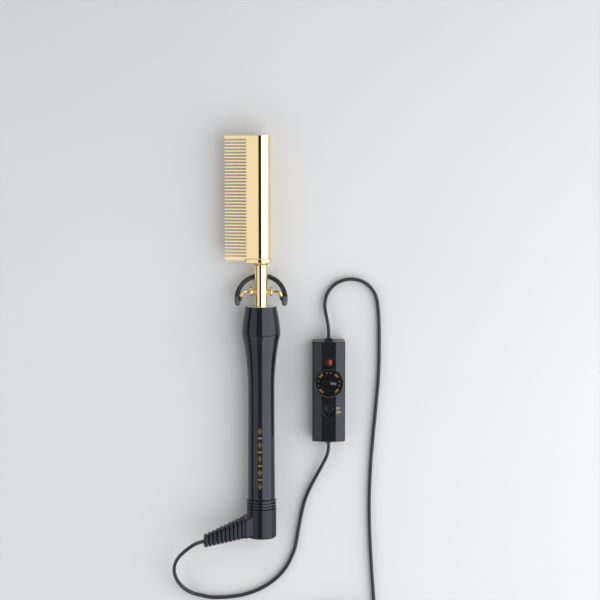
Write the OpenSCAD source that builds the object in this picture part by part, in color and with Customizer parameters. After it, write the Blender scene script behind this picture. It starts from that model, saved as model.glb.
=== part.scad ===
// Electric pressing comb with a folding stand, a swivel cord outlet, an in-line control and a plug.
// Millimetres. The comb lies on a table with its head towards +Y and its teeth towards -X; +Z is up.
// The origin is on the table, under the middle of the comb without its cord.
// "u" is the distance from the head's end face, measured along the comb towards the cord outlet.

/* [Comb head] */
// Number of thin teeth between the two guard teeth
tooth_count = 36; // [24:1:44]
// Distance between neighbouring teeth
tooth_pitch = 2.43; // [2.1:0.01:3]
// Thickness of a thin tooth
tooth_t = 1.15; // [0.9:0.05:1.5]
// Thickness of the guard tooth at the free end
guard_top_t = 2.45; // [2:0.05:4]
// Thickness of the guard tooth at the collar
guard_bottom_t = 2.95; // [2:0.05:4]
// Distance from the barrel's axis to the tooth tips
tooth_reach = 27.5; // [24:0.5:34]
// Distance from the barrel's axis to the tooth roots
tooth_root = 10.9; // [10:0.1:14]
// Thickness of the wedge at the tooth tips
tip_t = 1.4; // [1:0.1:2.5]
// Diameter of the round barrel
barrel_d = 15; // [14:0.1:18]
// Bore of the barrel for the heater
heater_bore_d = 10; // [10:0.1:11]
// Length of the plug that closes the barrel
end_plug_len = 3; // [2:0.1:5]

/* [Collar and neck] */
// Length of the collar
collar_len = 3.4; // [2.5:0.1:6]
// How far the collar stands out around the barrel
collar_lip = 1.1; // [0.4:0.05:1.2]
// Length of the neck between collar and handle
neck_len = 32.9; // [28:0.1:42]
// Outer diameter of the neck tube
neck_d = 9.86; // [9:0.02:9.9]
// Wall of the neck tube
neck_wall = 0.8; // [0.6:0.1:1.2]
// Diameter of the bead where the neck meets the collar
neck_bead_d = 11.3; // [10.6:0.1:12.5]
// Length of the neck tube inside the barrel
neck_grip = 9; // [5:0.5:14]
// Length of the neck tube inside the handle
neck_tail = 12; // [10:0.5:16]

/* [Stand] */
// Distance of the stand's pivot below the collar
pivot_drop = 21.8; // [19:0.1:24]
// Diameter of a pivot lug's flange
lug_flange_d = 7.2; // [5.5:0.1:8]
// Diameter of a pivot lug's shank
lug_shank_d = 3.4; // [3:0.1:4]
// Thickness of a pivot lug's flange
lug_flange_t = 2.4; // [1.5:0.1:3]
// Gap between the neck and a lug's flange
lug_stand_off = 1.4; // [1:0.1:2.2]
// Diameter of the stand's wire
wire_d = 1.9; // [1.6:0.1:2.2]
// Radius of the foot's arc, along the middle of its bar
foot_r = 18.5; // [18:0.1:20]
// Diameter of the foot's bar
foot_bar_d = 3.6; // [3:0.1:4]
// Diameter of the bosses that hold the wires
foot_boss_d = 4.6; // [4.2:0.1:5.5]
// Angle between the folded foot and the comb
foot_tilt = 20; // [18:1:24]
// How far the foot lies below its pivot
foot_drop = 2.8; // [2.8:0.1:3.4]

/* [Handle] */
// Length of the front cap
cap_len = 21.4; // [19:0.1:26]
// Diameter of the front cap's face
cap_face_d = 23.8; // [22.5:0.1:26]
// Diameter of the handle at its widest ring
wide_d = 29.54; // [28:0.02:34]
// Length from the widest ring to the end ridges
grip_len = 126.8; // [110:0.1:150]
// Length of the curved shoulder
shoulder_len = 48; // [36:1:60]
// Diameter of the handle at its waist
waist_d = 20.2; // [20:0.1:23]
// Diameter of the handle ahead of the ridges
tail_d = 21; // [21:0.1:23]
// Wall of the handle shell
handle_wall = 2; // [1.6:0.1:2.4]
// Number of ridges at the end of the handle
ridge_count = 3; // [2:1:5]
// Distance between the ridges
ridge_pitch = 2.37; // [2.2:0.01:3]
// Diameter over the ridges
ridge_d = 22.8; // [22.4:0.1:25]

/* [Swivel] */
// Outer diameter of the swivel housing
housing_d = 22.8; // [22:0.1:25]
// Length of the swivel housing
housing_len = 22.9; // [21:0.1:28]
// Length of the housing's front half
housing_front_len = 10.7; // [9:0.1:12]
// Wall of the swivel housing
housing_wall = 1.8; // [1.5:0.1:2.2]
// Radius of the housing's rounded end
housing_round = 1.6; // [0.8:0.1:2]
// Diameter of the swivel spindle
spindle_d = 9.8; // [9:0.1:10]
// Diameter of the slip rings
slip_ring_d = 11; // [10.6:0.1:11.6]
// Width of a slip ring
slip_ring_w = 2.4; // [2:0.1:3]
// Angle by which the housing is turned, so that the boot points up from the table
swivel_turn = 11; // [0:1:16]

/* [Cord boot] */
// Angle of the boot towards the end of the comb
boot_angle = 17; // [12:0.1:20]
// Length of the ribbed boot
boot_len = 32; // [28:0.5:36]
// Number of ribs
rib_count = 10; // [8:1:13]
// Width of the boot at its root
boot_root_w = 15.2; // [14:0.1:15.8]
// Width of the boot at its tip
boot_tip_w = 9.2; // [8.5:0.1:11]
// Share of a rib's pitch that is solid
rib_share = 0.76; // [0.5:0.01:0.8]
// Depth of the grooves between the ribs
groove_depth = 1; // [0.6:0.1:1.4]

/* [In-line control] */
// Length of the control's case
case_len = 77.3; // [74:0.1:90]
// Width of the case
case_w = 25.3; // [25:0.1:30]
// Height of the case in its middle
case_h = 16.5; // [16.5:0.1:20]
// Height of the case at its sides
case_side_h = 13.6; // [13:0.1:14.5]
// Width of the flat crown of the case
crown_w = 11; // [10:0.1:12]
// Height of the joint between base and cover
split_h = 7; // [6.5:0.1:8]
// Wall of the case
case_wall = 1.8; // [1.4:0.1:2]
// Diameter of the dial
dial_d = 22.4; // [18:0.1:24]
// Thickness of the dial
dial_t = 2.6; // [2:0.1:4]
// Length of the finger bar on the dial
dial_bar_len = 12.4; // [10:0.1:16]
// Distance of the dial from the middle of the case, towards the upper end
dial_offset = 7; // [6:0.1:9]
// Distance of the lamp from the dial's axis
lamp_offset = 15.7; // [15.5:0.1:18]
// Distance of the slide switch from the dial's axis
switch_offset = 21; // [20.6:0.1:23]
// Travel of the slide switch
switch_travel = 2.8; // [2:0.1:3.2]
// Diameter of the slider's button
slider_d = 7; // [6:0.1:7.4]

/* [Cord and plug] */
// Width of the flat twin cord
cord_w = 4.4; // [4:0.1:5]
// Thickness of the flat twin cord
cord_t = 2.5; // [2.2:0.1:2.8]
// Mean diameter of the stored coil
coil_mean_d = 50; // [44:1:54]
// Number of turns side by side in the coil
coil_columns = 5; // [3:1:6]
// Number of layers in the coil
coil_layers = 2; // [2:2:4]
// Length of the plug's body
plug_len = 22; // [20:0.5:30]
// Width of the plug's body
plug_w = 23; // [20:0.5:28]
// Height of the plug's body
plug_h = 15; // [13:0.5:18]
// Length of the plug's strain relief
plug_relief_len = 22; // [20:0.5:30]

/* [Hidden] */
$fn = 64;

// Fits
press_gap = 0.02;      // radial gap of pieces that are pressed together
slide_gap = 0.05;      // radial gap of a shaft that turns in its bore
running_gap = 0.3;     // gap between bodies that move past each other
close_gap = 0.03;      // gap all round a piece that drops into its cutout
tiny = 0.01;
far = 400;

// Head, along u
tooth_gap = tooth_pitch - tooth_t;
teeth_start = guard_top_t + tooth_gap;
teeth_end = teeth_start + tooth_count * tooth_pitch;
head_len = teeth_end + guard_bottom_t;
guard_overlap = guard_bottom_t / 2;
barrel_len = head_len - guard_overlap;
collar_end = barrel_len + collar_len;
pivot_u = collar_end + pivot_drop;
handle_start = collar_end + neck_len;
seam_u = handle_start + cap_len;
ridges_u = seam_u + grip_len;
tail_u = ridges_u + ridge_count * ridge_pitch;
housing_start = tail_u + running_gap;
split_u = housing_start + housing_front_len;
housing_end = housing_start + housing_len;

// Radii
barrel_r = barrel_d / 2;
neck_r = neck_d / 2;
neck_bore_r = neck_r - neck_wall;
wide_r = wide_d / 2;
waist_r = waist_d / 2;
tail_r = tail_d / 2;
ridge_r = ridge_d / 2;
housing_r = housing_d / 2;
spindle_r = spindle_d / 2;
slip_ring_r = slip_ring_d / 2;
wire_r = wire_d / 2;
foot_bar_r = foot_bar_d / 2;
foot_boss_r = foot_boss_d / 2;
lug_shank_r = lug_shank_d / 2;

// Head section: a round barrel with two flat faces that run from it to the tooth tips
wedge_angle = asin(barrel_r / norm([tooth_reach, tip_t / 2])) - atan(tip_t / 2 / tooth_reach);
collar_reach = tooth_root + collar_lip / 2;
guard_slot = running_gap;
tip_round = 0.9;
heater_bore_r = heater_bore_d / 2;

// Heater inside the barrel
sleeve_wall = 0.4;
winding_t = 0.6;
core_r = heater_bore_r - sleeve_wall - winding_t - 0.2;
core_bore_r = 0.9;
heater_start = end_plug_len + 1;
heater_end = barrel_len - neck_grip - 1;
winding_pitch = 2.4;
winding_margin = 4;
end_plug_r = heater_bore_r + 0.8;

// Leads and fuse
lead_r = 0.75;
lead_x = neck_bore_r - lead_r - 0.1;
lead_inner_x = 1.1;
fuse_r = lead_x - lead_r - 0.25;
fuse_len = 12;
fuse_pin_r = 0.4;
fuse_pin_len = 6;
crimp_r = 1.4;
crimp_len = 7;
crimp_gap = 0.15;
crimp_u = seam_u + 2;
lead_joint_u = crimp_u + crimp_len / 2;

// Stand, around its pivot
lug_flange_x = neck_r + lug_stand_off;
lug_end_x = lug_flange_x + lug_flange_t;
lug_bore_start = neck_r + 0.6;
lug_edge = 0.4;
wire_start_x = lug_bore_start + 0.1;
wire_bend_x = foot_r - 6.3;
wire_bend_r = 2.4;
wire_bend_angle = 64;
wire_end_len = 5;
wire_end_r = wire_r - 0.1;
wire_end_start = wire_r / 2;
boss_start = 2.2;
boss_len = 5.4;
arc_center_u = 6.1;
arc_end_angle = 12;

// Handle
shoulder_power = 2.35;
cap_power = 1.15;
profile_steps = 24;
cap_wall = 3;
cap_spigot_len = 5.6;
cap_spigot_r = wide_r - 3.8;
bush_r = wide_r - 5.4;
bush_len = 16;
cap_bore_r = bush_r + press_gap;
pin_r = 1;
pin_u = handle_start + cap_wall + 5;
edge_round = 0.7;
ridge_bead_r = ridge_pitch * 0.42;
tail_wall = 2.5;

// Swivel
carrier_flange_t = 3.3;
carrier_flange_r = tail_r - handle_wall - 0.5;
carrier_flange_u = tail_u - tail_wall - carrier_flange_t;
carrier_bore_r = 2.2;
journal_r = spindle_r - 1;
cavity_start = housing_start + housing_wall;
cavity_end = housing_end - housing_wall;
cavity_r = housing_r - housing_wall;
clip_t = 0.8;
clip_u = cavity_start + 0.1;
clip_groove_r = journal_r - 0.8;
clip_r = slip_ring_r + 0.4;
ring_space = 3;
front_ring_u = clip_u + clip_t + 1.4;
rear_ring_u = front_ring_u + slip_ring_w + ring_space;
spindle_end = rear_ring_u + slip_ring_w + 1.2;
brush_t = 0.4;
brush_w = slip_ring_w - 0.6;
brush_y = slip_ring_r + 0.25;
housing_screw_r = 1;
housing_head_r = 1.7;
housing_post_r = 1.8;
housing_screw_y = cavity_r - 1.5;
housing_screw_len = 4;
screw_seat_u = housing_end - housing_wall / 2;

// Cord boot: it leaves the housing towards -X and slants towards the end of the comb
boot_root_x = housing_r + 2.4;
boot_root_u = split_u + 4.15;
boot_h_share = 0.97;
boot_corner_share = 0.22;
block_w = (boot_root_w + 0.3) * cos(boot_angle);
block_h = boot_root_w * boot_h_share - 0.3;
block_round = 1.8;
rib_overlap = 0.2;
block_depth = 9.5;
block_over = 3;
tenon_len = 3;
tenon_w = 8.5;
tenon_h = 8;
rib_pitch = boot_len / (rib_count - 1 + rib_share);
rib_t = rib_pitch * rib_share * cos(boot_angle);
groove_w = rib_pitch * (1 - rib_share) * cos(boot_angle);
cord_hole_w = cord_t + 0.3;
cord_hole_h = cord_w + 0.3;

// The comb's place: it lies on its widest ring, with the origin in the middle of its box
foot_reach = max(foot_r + foot_bar_r, wide_r);
comb_x = (tooth_reach - foot_reach) / 2;
comb_y = housing_end / 2;
comb_z = wide_r;

// Control, around the middle of its case on the table
case_x = 55.2;
case_y = -41;
case_round = 1.2;
case_shoulder = 2.4;
facet_angle = atan((case_h - case_side_h) / (case_w / 2 - crown_w / 2));
shoulder_x = case_w / 2 - case_shoulder;
shoulder_z = case_side_h - case_shoulder * (1 - sin(facet_angle)) / cos(facet_angle);
pedestal_h = case_h + 0.2;
dial_y = case_y + dial_offset;
switch_y = dial_y - switch_offset;
shaft_r = 3;
pedestal_r = dial_d / 2 - 0.2;
dial_z = pedestal_h + running_gap;
dial_top = dial_z + dial_t;
dial_rim = 0.7;
dial_dish = 0.5;
pocket_w = 13.4;
pocket_h = 8.6;
pocket_depth = 1;
dial_bar_w = 3.8;
dial_bar_h = 1.6;
pointer_len = 4.4;
pointer_w = 1.5;
pocket_floor = dial_top - dial_dish - pocket_depth;
shaft_top = pocket_floor - 0.4;
board_z = 4.5;
board_t = 1.6;
board_top = board_z + board_t;
board_len = case_len - 17;
board_w = case_w - 2 * case_wall - 1;
pot_w = (pedestal_r - case_wall - running_gap) * sqrt(2);
pot_h = 5.4;
switch_w = 10;
switch_len = 12;
switch_h = 6.4;
recess_w = 9.2;
recess_len = slider_d + switch_travel + 1.2;
recess_depth = 1.1;
slider_rest = switch_travel / 2;
stem_w = 3;
slider_z = case_h - recess_depth + running_gap;
slider_h = 1.9;
slider_dish = 0.5;
lamp_r = 1.9;
lens_w = 3.5;
lens_len = 4.8;
screw_x = case_w / 2 - case_wall - 3;
screw_y = case_len / 2 - case_wall - 3;
boss_r = 2.9;
screw_r = 1.3;
screw_head_r = 2.4;
screw_head_t = 1.6;
screw_len = split_h + 3;
gland_w = 6.4;
gland_h = 6.4;
gland_out = 1.6;
gland_flange = 1.2;
gland_flange_t = 1.4;
case_end = case_len / 2;
terminal_len = 5;
terminal_w = 9;
terminal_h = 5;
terminal_y = board_len / 2 - terminal_len - 0.4;
wire_core_r = 0.75;
core_gap = 0.4;
core_space = 2.2;
board_pad_x = 2;
triac_w = 8;
triac_h = 5;
sink_w = 12;
sink_t = 1.2;
sink_h = 6.5;
gland_face_y = case_end + gland_out;

// Plug
plug_x = 12;
plug_y = -268;
plug_round = 3;
blade_w = 6.35;
blade_t = 1.5;
blade_len = 17;
blade_space = 12.7;
blade_root = 6;
blade_hole_r = 1.5;
relief_ribs = 7;
plug_z = plug_h / 2;

// Coil and tie
coil_x = 62;
coil_y = -243;
coil_pitch = cord_t + 0.1;
coil_r = coil_mean_d / 2;
coil_half_w = coil_columns * coil_pitch / 2;
coil_h = coil_layers * cord_w;
tie_w = 4;
tie_t = 1;
tie_gap = 0.15;

// Cord routes: hand-chosen points between the pieces that the cord joins
boot_dir = [-cos(boot_angle) * cos(swivel_turn), -sin(boot_angle), cos(boot_angle) * sin(swivel_turn)];
boot_root = [comb_x - boot_root_x * cos(swivel_turn), comb_y - boot_root_u,
             comb_z + boot_root_x * sin(swivel_turn)];
boot_tip = boot_root + boot_len * boot_dir;
cord_in = 4;
short_route = concat(
    [for (d = [-boot_len - tenon_len - 2, -boot_len / 2, 0, 8]) boot_tip + d * boot_dir],
    [[-55.6, -163.4, 24.4], [-61.2, -170.2, 21.2], [-63.8, -178.3, 16.4], [-62.9, -186.8, 11.4],
     [-59, -194.3, 7.2], [-52.7, -199.9, 4.4], [-44, -203.2, 2.8], [-32, -205, 2.3],
     [-12, -203, 2.3], [6, -196, 2.3], [20, -184, 2.3], [28.5, -168, 2.3], [32, -151, 2.3],
     [34.2, -139.5, 2.3], [36.4, -130, 2.3], [39.6, -121, 2.6], [43.4, -112.9, 3.3],
     [47.2, -105.6, 4.4], [50.8, -98.6, 5.7], [53.9, -92, 6.7]],
    [for (d = [5, 0, -cord_in]) [case_x, case_y - gland_face_y - d, split_h]]);
long_route = concat(
    [for (d = [-cord_in, 0, 5]) [case_x, case_y + gland_face_y + d, split_h]],
    [[54.6, 10.4, 6.4], [53.2, 17, 5], [52.3, 24.2, 3.6], [53.8, 32, 2.6], [58.1, 38.5, 2.3],
     [64.7, 42.8, 2.3], [72.5, 44.3, 2.3], [80.3, 42.8, 2.3], [86.9, 38.4, 2.3], [91.3, 31.8, 2.3],
     [93, 24, 2.3], [93.8, 14, 2.3], [94.2, -5, 2.3], [93.8, -29, 2.3], [92, -53, 2.3],
     [89.8, -77, 2.3], [88, -100, 2.3], [87, -127, 2.3], [87.5, -154, 2.3], [89, -181, 2.3],
     [90.9, -208, 2.3], [92, -228, 2.3], [92.2, -243, 2.3]]);
tail_route = [
    [62, -273.2, 6.6], [55.5, -272.9, 6.7], [49.5, -271.7, 6.9], [44.2, -269.9, 7.2],
    [39, -268.5, 7.4],
    [plug_x + plug_relief_len, plug_y, plug_z],
    [plug_x + plug_relief_len - cord_in, plug_y, plug_z]];
route_steps = 2;

// ---------- helpers ----------

// Places children in the comb's own frame: x to the right, y up and z along u
module on_comb(u = 0) {
    translate([comb_x, comb_y - u, comb_z]) rotate([90, 0, 0]) children();
}

// Places children in the comb's frame, turned about its axis with the swivel housing
module on_swivel() {
    on_comb() rotate([0, 0, -swivel_turn]) children();
}

// Places children in the boot's frame: z along the boot, y up
module on_boot(d = 0) {
    on_swivel() translate([-boot_root_x, 0, boot_root_u]) rotate([0, boot_angle - 90, 0])
        translate([0, 0, d]) children();
}

// Places children on the boot's slanting axis at d, with z square to the comb's axis
module on_rib(d = 0) {
    on_swivel() translate([-boot_root_x - d * cos(boot_angle), 0, boot_root_u + d * sin(boot_angle)])
        rotate([0, -90, 0]) children();
}

// Places children in the control's frame, on the table under the middle of its case
module on_case(x = 0, y = 0, z = 0) {
    translate([case_x + x, case_y + y, z]) children();
}

module tube(outer, inner, length) {
    difference() {
        cylinder(r = outer, h = length);
        translate([0, 0, -1]) cylinder(r = inner, h = length + 2);
    }
}

module ring_of(section) {
    rotate_extrude() polygon(section);
}

// Rectangle with round corners, centred
module round_rect(w, h, r) {
    square([w - 2 * r, h], center = true);
    square([w, h - 2 * r], center = true);
    for (x = [-1, 1], y = [-1, 1])
        translate([x * (w / 2 - r), y * (h / 2 - r)]) circle(r = r);
}

// Oval with straight sides, centred, long along y
module oval(w, length) {
    square([w, length - w], center = true);
    for (y = [-1, 1]) translate([0, y * (length - w) / 2]) circle(d = w);
}

// Round rod between two points
module rod(a, b, r) {
    v = b - a;
    translate(a) rotate([0, acos(v[2] / norm(v)), atan2(v[1], v[0])]) cylinder(r = r, h = norm(v));
}

// Round rod along z with one round end, at the top
module round_end_rod(r, length) {
    rotate_extrude() intersection() {
        union() {
            square([r, length - r]);
            translate([0, length - r]) circle(r = r, $fn = 32);
        }
        square([r, length]);
    }
}

// ---------- cord ----------

function at_end(i, n) = min(max(i, 0), n);

// Point on a smooth curve through the route's points, t counted in points
function on_route(route, t) =
    let (n = len(route) - 1, i = min(floor(t), n - 1), f = t - i,
         a = route[at_end(i - 1, n)], b = route[i], c = route[i + 1], d = route[at_end(i + 2, n)])
    0.5 * (2 * b + (c - a) * f + (2 * a - 5 * b + 4 * c - d) * f * f
           + (3 * b - a - 3 * c + d) * f * f * f);

function unit(v) = v / norm(v);

// One ring of the flat cord, standing on its edge: half_w to the side and half_h up
function cord_ring(p, along, half_w, half_h) =
    let (side = unit(cross(along, [0, 0, 1])), up = cross(side, along))
    [for (k = [0 : 7]) let (a = 22.5 + 45 * k)
        p + side * (half_w * cos(a) / cos(22.5)) + up * (half_h * sin(a) / cos(22.5))];

module cord_along(route) {
    last = (len(route) - 1) * route_steps;
    points = [for (i = [0 : last]) on_route(route, i / route_steps)];
    rings = [for (i = [0 : last])
        let (along = unit(points[at_end(i + 1, last)] - points[at_end(i - 1, last)]))
        cord_ring(points[i], along, cord_t / 2, cord_w / 2)];
    sides = [for (i = [0 : last - 1], k = [0 : 7])
        let (a = i * 8 + k, b = i * 8 + (k + 1) % 8)
        each [[a, a + 8, b], [b, a + 8, b + 8]]];
    start_cap = [for (k = [1 : 6]) [0, k, k + 1]];
    end_cap = [for (k = [1 : 6]) [last * 8, last * 8 + k + 1, last * 8 + k]];
    polyhedron(points = [for (ring = rings) each ring], faces = concat(sides, start_cap, end_cap));
}

module cord_short() {
    color("#1d1f24") cord_along(short_route);
}

module cord_long() {
    color("#1d1f24") cord_along(long_route);
}

module cord_tail() {
    color("#1d1f24") cord_along(tail_route);
}

module cord_coil() {
    color("#1d1f24") translate([coil_x, coil_y, 0]) rotate_extrude()
        translate([coil_r - coil_half_w, 0]) square([2 * coil_half_w, coil_h]);
}

module cord_tie() {
    color("#2b2d33") translate([coil_x, coil_y + coil_r, coil_h / 2]) rotate([0, 90, 0])
        linear_extrude(tie_w, center = true) difference() {
            translate([-tie_t / 2, 0]) square([coil_h + tie_t, 2 * (coil_half_w + tie_gap + tie_t)], center = true);
            square([coil_h + 2 * close_gap, 2 * (coil_half_w + tie_gap)], center = true);
        }
}

// ---------- plug ----------

module on_plug() {
    translate([plug_x, plug_y, plug_z]) rotate([0, -90, 0]) children();
}

module plug_outline(w, h) {
    rotate(90) round_rect(w, h, plug_round);
}

module plug_body() {
    color("#17181c") on_plug() difference() {
        union() {
            linear_extrude(plug_len) plug_outline(plug_w, plug_h);
            for (i = [0 : relief_ribs - 1]) {
                f = 1 - i / relief_ribs;
                z = -plug_relief_len * (i + 1) / relief_ribs;
                side = cord_w + 2 + f * 4;
                translate([0, 0, z]) linear_extrude(plug_relief_len / relief_ribs * 0.7)
                    round_rect(side, side, 2);
            }
            translate([0, 0, -plug_relief_len]) linear_extrude(plug_relief_len)
                round_rect(cord_w + 1.6, cord_t + 2.4, 1.5);
        }
        translate([0, 0, -plug_relief_len - 1]) linear_extrude(cord_in + 1)
            square([cord_hole_h, cord_hole_w], center = true);
        for (y = [-1, 1]) translate([0, y * blade_space / 2, plug_len - blade_root])
            linear_extrude(blade_root + 1) square([blade_w, blade_t], center = true);
    }
}

module plug_blades() {
    color("#c9c9c4") on_plug() for (y = [-1, 1])
        translate([0, y * blade_space / 2, plug_len - blade_root]) difference() {
            linear_extrude(blade_root + blade_len) square([blade_w, blade_t], center = true);
            translate([0, 0, blade_root + blade_len - 3.4]) rotate([90, 0, 0])
                cylinder(r = blade_hole_r, h = blade_t + 2, center = true);
            for (x = [-1, 1]) translate([x * blade_w / 2, 0, blade_root + blade_len])
                rotate([0, 45, 0]) cube([1.6, blade_t + 2, 1.6], center = true);
        }
}

// ---------- head ----------

// Section of barrel and wedge; grow moves its outline outwards, reach ends the wedge
module head_section(grow, reach) {
    r = barrel_r + grow;
    y = (r - reach * sin(wedge_angle)) / cos(wedge_angle);
    circle(r = r);
    polygon([[-r * sin(wedge_angle), r * cos(wedge_angle)], [-reach, y], [-reach, -y],
             [-r * sin(wedge_angle), -r * cos(wedge_angle)], [0, 0]]);
}

// One tooth as seen from the side: x towards the tip is negative, y along u
module tooth_side(root, start, thickness, corner) {
    translate([-tooth_reach + corner, start]) square([tooth_reach - corner - root, thickness]);
    translate([-tooth_reach, start + corner]) square([corner * 1.5, thickness - 2 * corner + tiny]);
    for (y = [corner, thickness - corner])
        translate([-tooth_reach + corner, start + y]) circle(r = corner, $fn = 24);
}

module blade_side() {
    thin_corner = tooth_t / 2 - tiny;
    translate([-tooth_root, 0]) square([tooth_root + barrel_r + 1, barrel_len]);
    tooth_side(tooth_root - 1, 0, guard_top_t, tip_round);
    for (i = [0 : tooth_count - 1])
        tooth_side(tooth_root - 1, teeth_start + i * tooth_pitch, tooth_t, thin_corner);
    tooth_side(collar_reach + guard_slot, teeth_end, guard_bottom_t, tip_round);
    translate([-collar_reach - 1, teeth_end]) square([2, barrel_len - teeth_end]);
}

module comb_blade() {
    color("#e8c56f") on_comb() difference() {
        intersection() {
            linear_extrude(head_len) head_section(0, tooth_reach);
            rotate([90, 0, 0]) linear_extrude(far, center = true) blade_side();
        }
        translate([0, 0, -1]) cylinder(r = heater_bore_r, h = barrel_len + 2);
        translate([0, 0, -1]) cylinder(r = end_plug_r, h = end_plug_len / 2 + 1);
    }
}

module barrel_end_plug() {
    color("#e2bd66") on_comb() {
        translate([0, 0, 0.1]) cylinder(r = end_plug_r - press_gap, h = end_plug_len / 2 - 0.1);
        translate([0, 0, 0.2]) cylinder(r = heater_bore_r - press_gap, h = end_plug_len - 0.2);
    }
}

module head_collar() {
    color("#ecca78") on_comb(barrel_len) difference() {
        linear_extrude(collar_len) head_section(collar_lip, collar_reach);
        translate([0, 0, -1]) cylinder(r = neck_r + press_gap, h = collar_len + 2);
    }
}

module heater_core() {
    color("#efe9dc") on_comb(heater_start) difference() {
        cylinder(r = core_r, h = heater_end - heater_start);
        for (x = [-1, 1]) translate([x * core_r / 2, 0, -1])
            cylinder(r = core_bore_r, h = heater_end - heater_start + 2);
    }
}

module heating_winding() {
    first = heater_start + winding_margin;
    count = floor((heater_end - heater_start - 2 * winding_margin) / winding_pitch);
    color("#a9a39a") on_comb() difference() {
        union() {
            translate([0, 0, first]) cylinder(r = core_r + winding_t / 2, h = count * winding_pitch);
            for (i = [0 : count - 1]) translate([0, 0, first + (i + 0.25) * winding_pitch])
                cylinder(r = core_r + winding_t, h = winding_pitch / 2);
        }
        translate([0, 0, first - 1]) cylinder(r = core_r + press_gap, h = count * winding_pitch + 2);
    }
}

module mica_sleeve() {
    color("#c9b48a") on_comb(heater_start)
        tube(heater_bore_r - 0.05, heater_bore_r - 0.05 - sleeve_wall, heater_end - heater_start);
}

module neck_tube() {
    start = barrel_len - neck_grip;
    end = handle_start + neck_tail;
    color("#ecca78") on_comb() difference() {
        ring_of([[neck_bore_r, start], [neck_r, start], [neck_r, collar_end + press_gap],
                 [neck_bead_d / 2, collar_end + press_gap], [neck_bead_d / 2, collar_end + 0.6],
                 [neck_r, collar_end + 2.1], [neck_r, end], [neck_bore_r, end]]);
        translate([0, 0, pivot_u]) rotate([0, 90, 0])
            cylinder(r = lug_shank_r, h = 2 * neck_r + 2, center = true);
        translate([0, 0, pin_u]) rotate([90, 0, 0]) cylinder(r = pin_r, h = 2 * neck_r + 2, center = true);
    }
}

// One lug, its axis along z from the middle of the neck
module pivot_lug() {
    r = lug_flange_d / 2;
    shank_r = lug_shank_r - press_gap;
    difference() {
        ring_of([[0, neck_bore_r], [shank_r, neck_bore_r], [shank_r, lug_flange_x - 0.6],
                 [r - lug_edge, lug_flange_x], [r, lug_flange_x + lug_edge], [r, lug_end_x - lug_edge],
                 [r - lug_edge, lug_end_x], [0, lug_end_x]]);
        translate([0, 0, lug_bore_start]) cylinder(r = wire_r + slide_gap, h = lug_end_x);
    }
}

module pivot_lugs() {
    color("#d9b45c") on_comb(pivot_u) for (side = [-90, 90]) rotate([0, side, 0]) pivot_lug();
}

module thermal_fuse() {
    middle = collar_end + 9;
    color("#b9bcc0") on_comb(middle) {
        cylinder(r = fuse_r, h = fuse_len, center = true);
        cylinder(r = fuse_pin_r, h = fuse_len + 2 * fuse_pin_len, center = true);
    }
}

module heater_leads() {
    color("#d8d2c4") on_comb(heater_end) for (x = [-1, 1])
        translate([x * lead_x, 0, 0]) cylinder(r = lead_r, h = lead_joint_u - heater_end);
}

module handle_leads() {
    color("#8a8d92") on_comb() for (x = [-1, 1])
        rod([x * lead_x, 0, lead_joint_u + 0.1], [x * lead_inner_x, 0, spindle_end - 2], lead_r);
}

module lead_crimps() {
    color("#c8a24e") on_comb(crimp_u) for (x = [-1, 1])
        translate([x * lead_x, 0, 0]) tube(crimp_r, lead_r + crimp_gap, crimp_len);
}

// ---------- stand ----------

// Places children in the plane of a wire, around the centre of its bend; x points to the bend's start
module in_wire_plane(side) {
    mirror([side < 0 ? 1 : 0, 0, 0]) translate([wire_bend_x, 0, wire_bend_r]) rotate([90, 0, 0])
        rotate([0, 0, -90]) children();
}

// Places children where a wire's bend ends, with z along the wire's free end
module at_wire_end(side) {
    in_wire_plane(side) rotate([0, 0, wire_bend_angle]) translate([wire_bend_r, 0, 0])
        rotate([-90, 0, 0]) children();
}

module stand_wires() {
    color("#e2bd66") on_comb(pivot_u) for (side = [-1, 1]) {
        in_wire_plane(side) {
            translate([wire_bend_r, 0, 0]) rotate([90, 0, 0])
                cylinder(r = wire_r, h = wire_bend_x - wire_start_x);
            rotate_extrude(angle = wire_bend_angle) translate([wire_bend_r, 0]) circle(r = wire_r);
        }
        at_wire_end(side) translate([0, 0, -wire_end_start])
            cylinder(r = wire_end_r, h = wire_end_start + wire_end_len);
    }
}

module stand_foot() {
    color("#22262b") on_comb(pivot_u) difference() {
        union() {
            translate([0, -foot_drop, 0]) rotate([-foot_tilt, 0, 0]) translate([0, 0, arc_center_u])
                rotate([90, 0, 0]) rotate([0, 0, 180 - arc_end_angle])
                    rotate_extrude(angle = 180 + 2 * arc_end_angle)
                        translate([foot_r, 0]) circle(r = foot_bar_r, $fn = 32);
            for (side = [-1, 1]) at_wire_end(side) translate([0, 0, boss_start])
                round_end_rod(foot_boss_r, boss_len);
        }
        for (side = [-1, 1]) at_wire_end(side)
            cylinder(r = wire_end_r + press_gap, h = wire_end_len + press_gap);
    }
}

// ---------- handle ----------

// Radius of the handle's skin at u, from the front face to the ridges
function cap_r(u) = cap_face_d / 2
    + (wide_r - cap_face_d / 2) * pow(sin(90 * (u - handle_start) / cap_len), cap_power);
function grip_r(u) = u < seam_u + shoulder_len
    ? waist_r + (wide_r - waist_r) * pow(1 - (u - seam_u) / shoulder_len, shoulder_power)
    : waist_r + (tail_r - waist_r) * (u - seam_u - shoulder_len) / (grip_len - shoulder_len);

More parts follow.
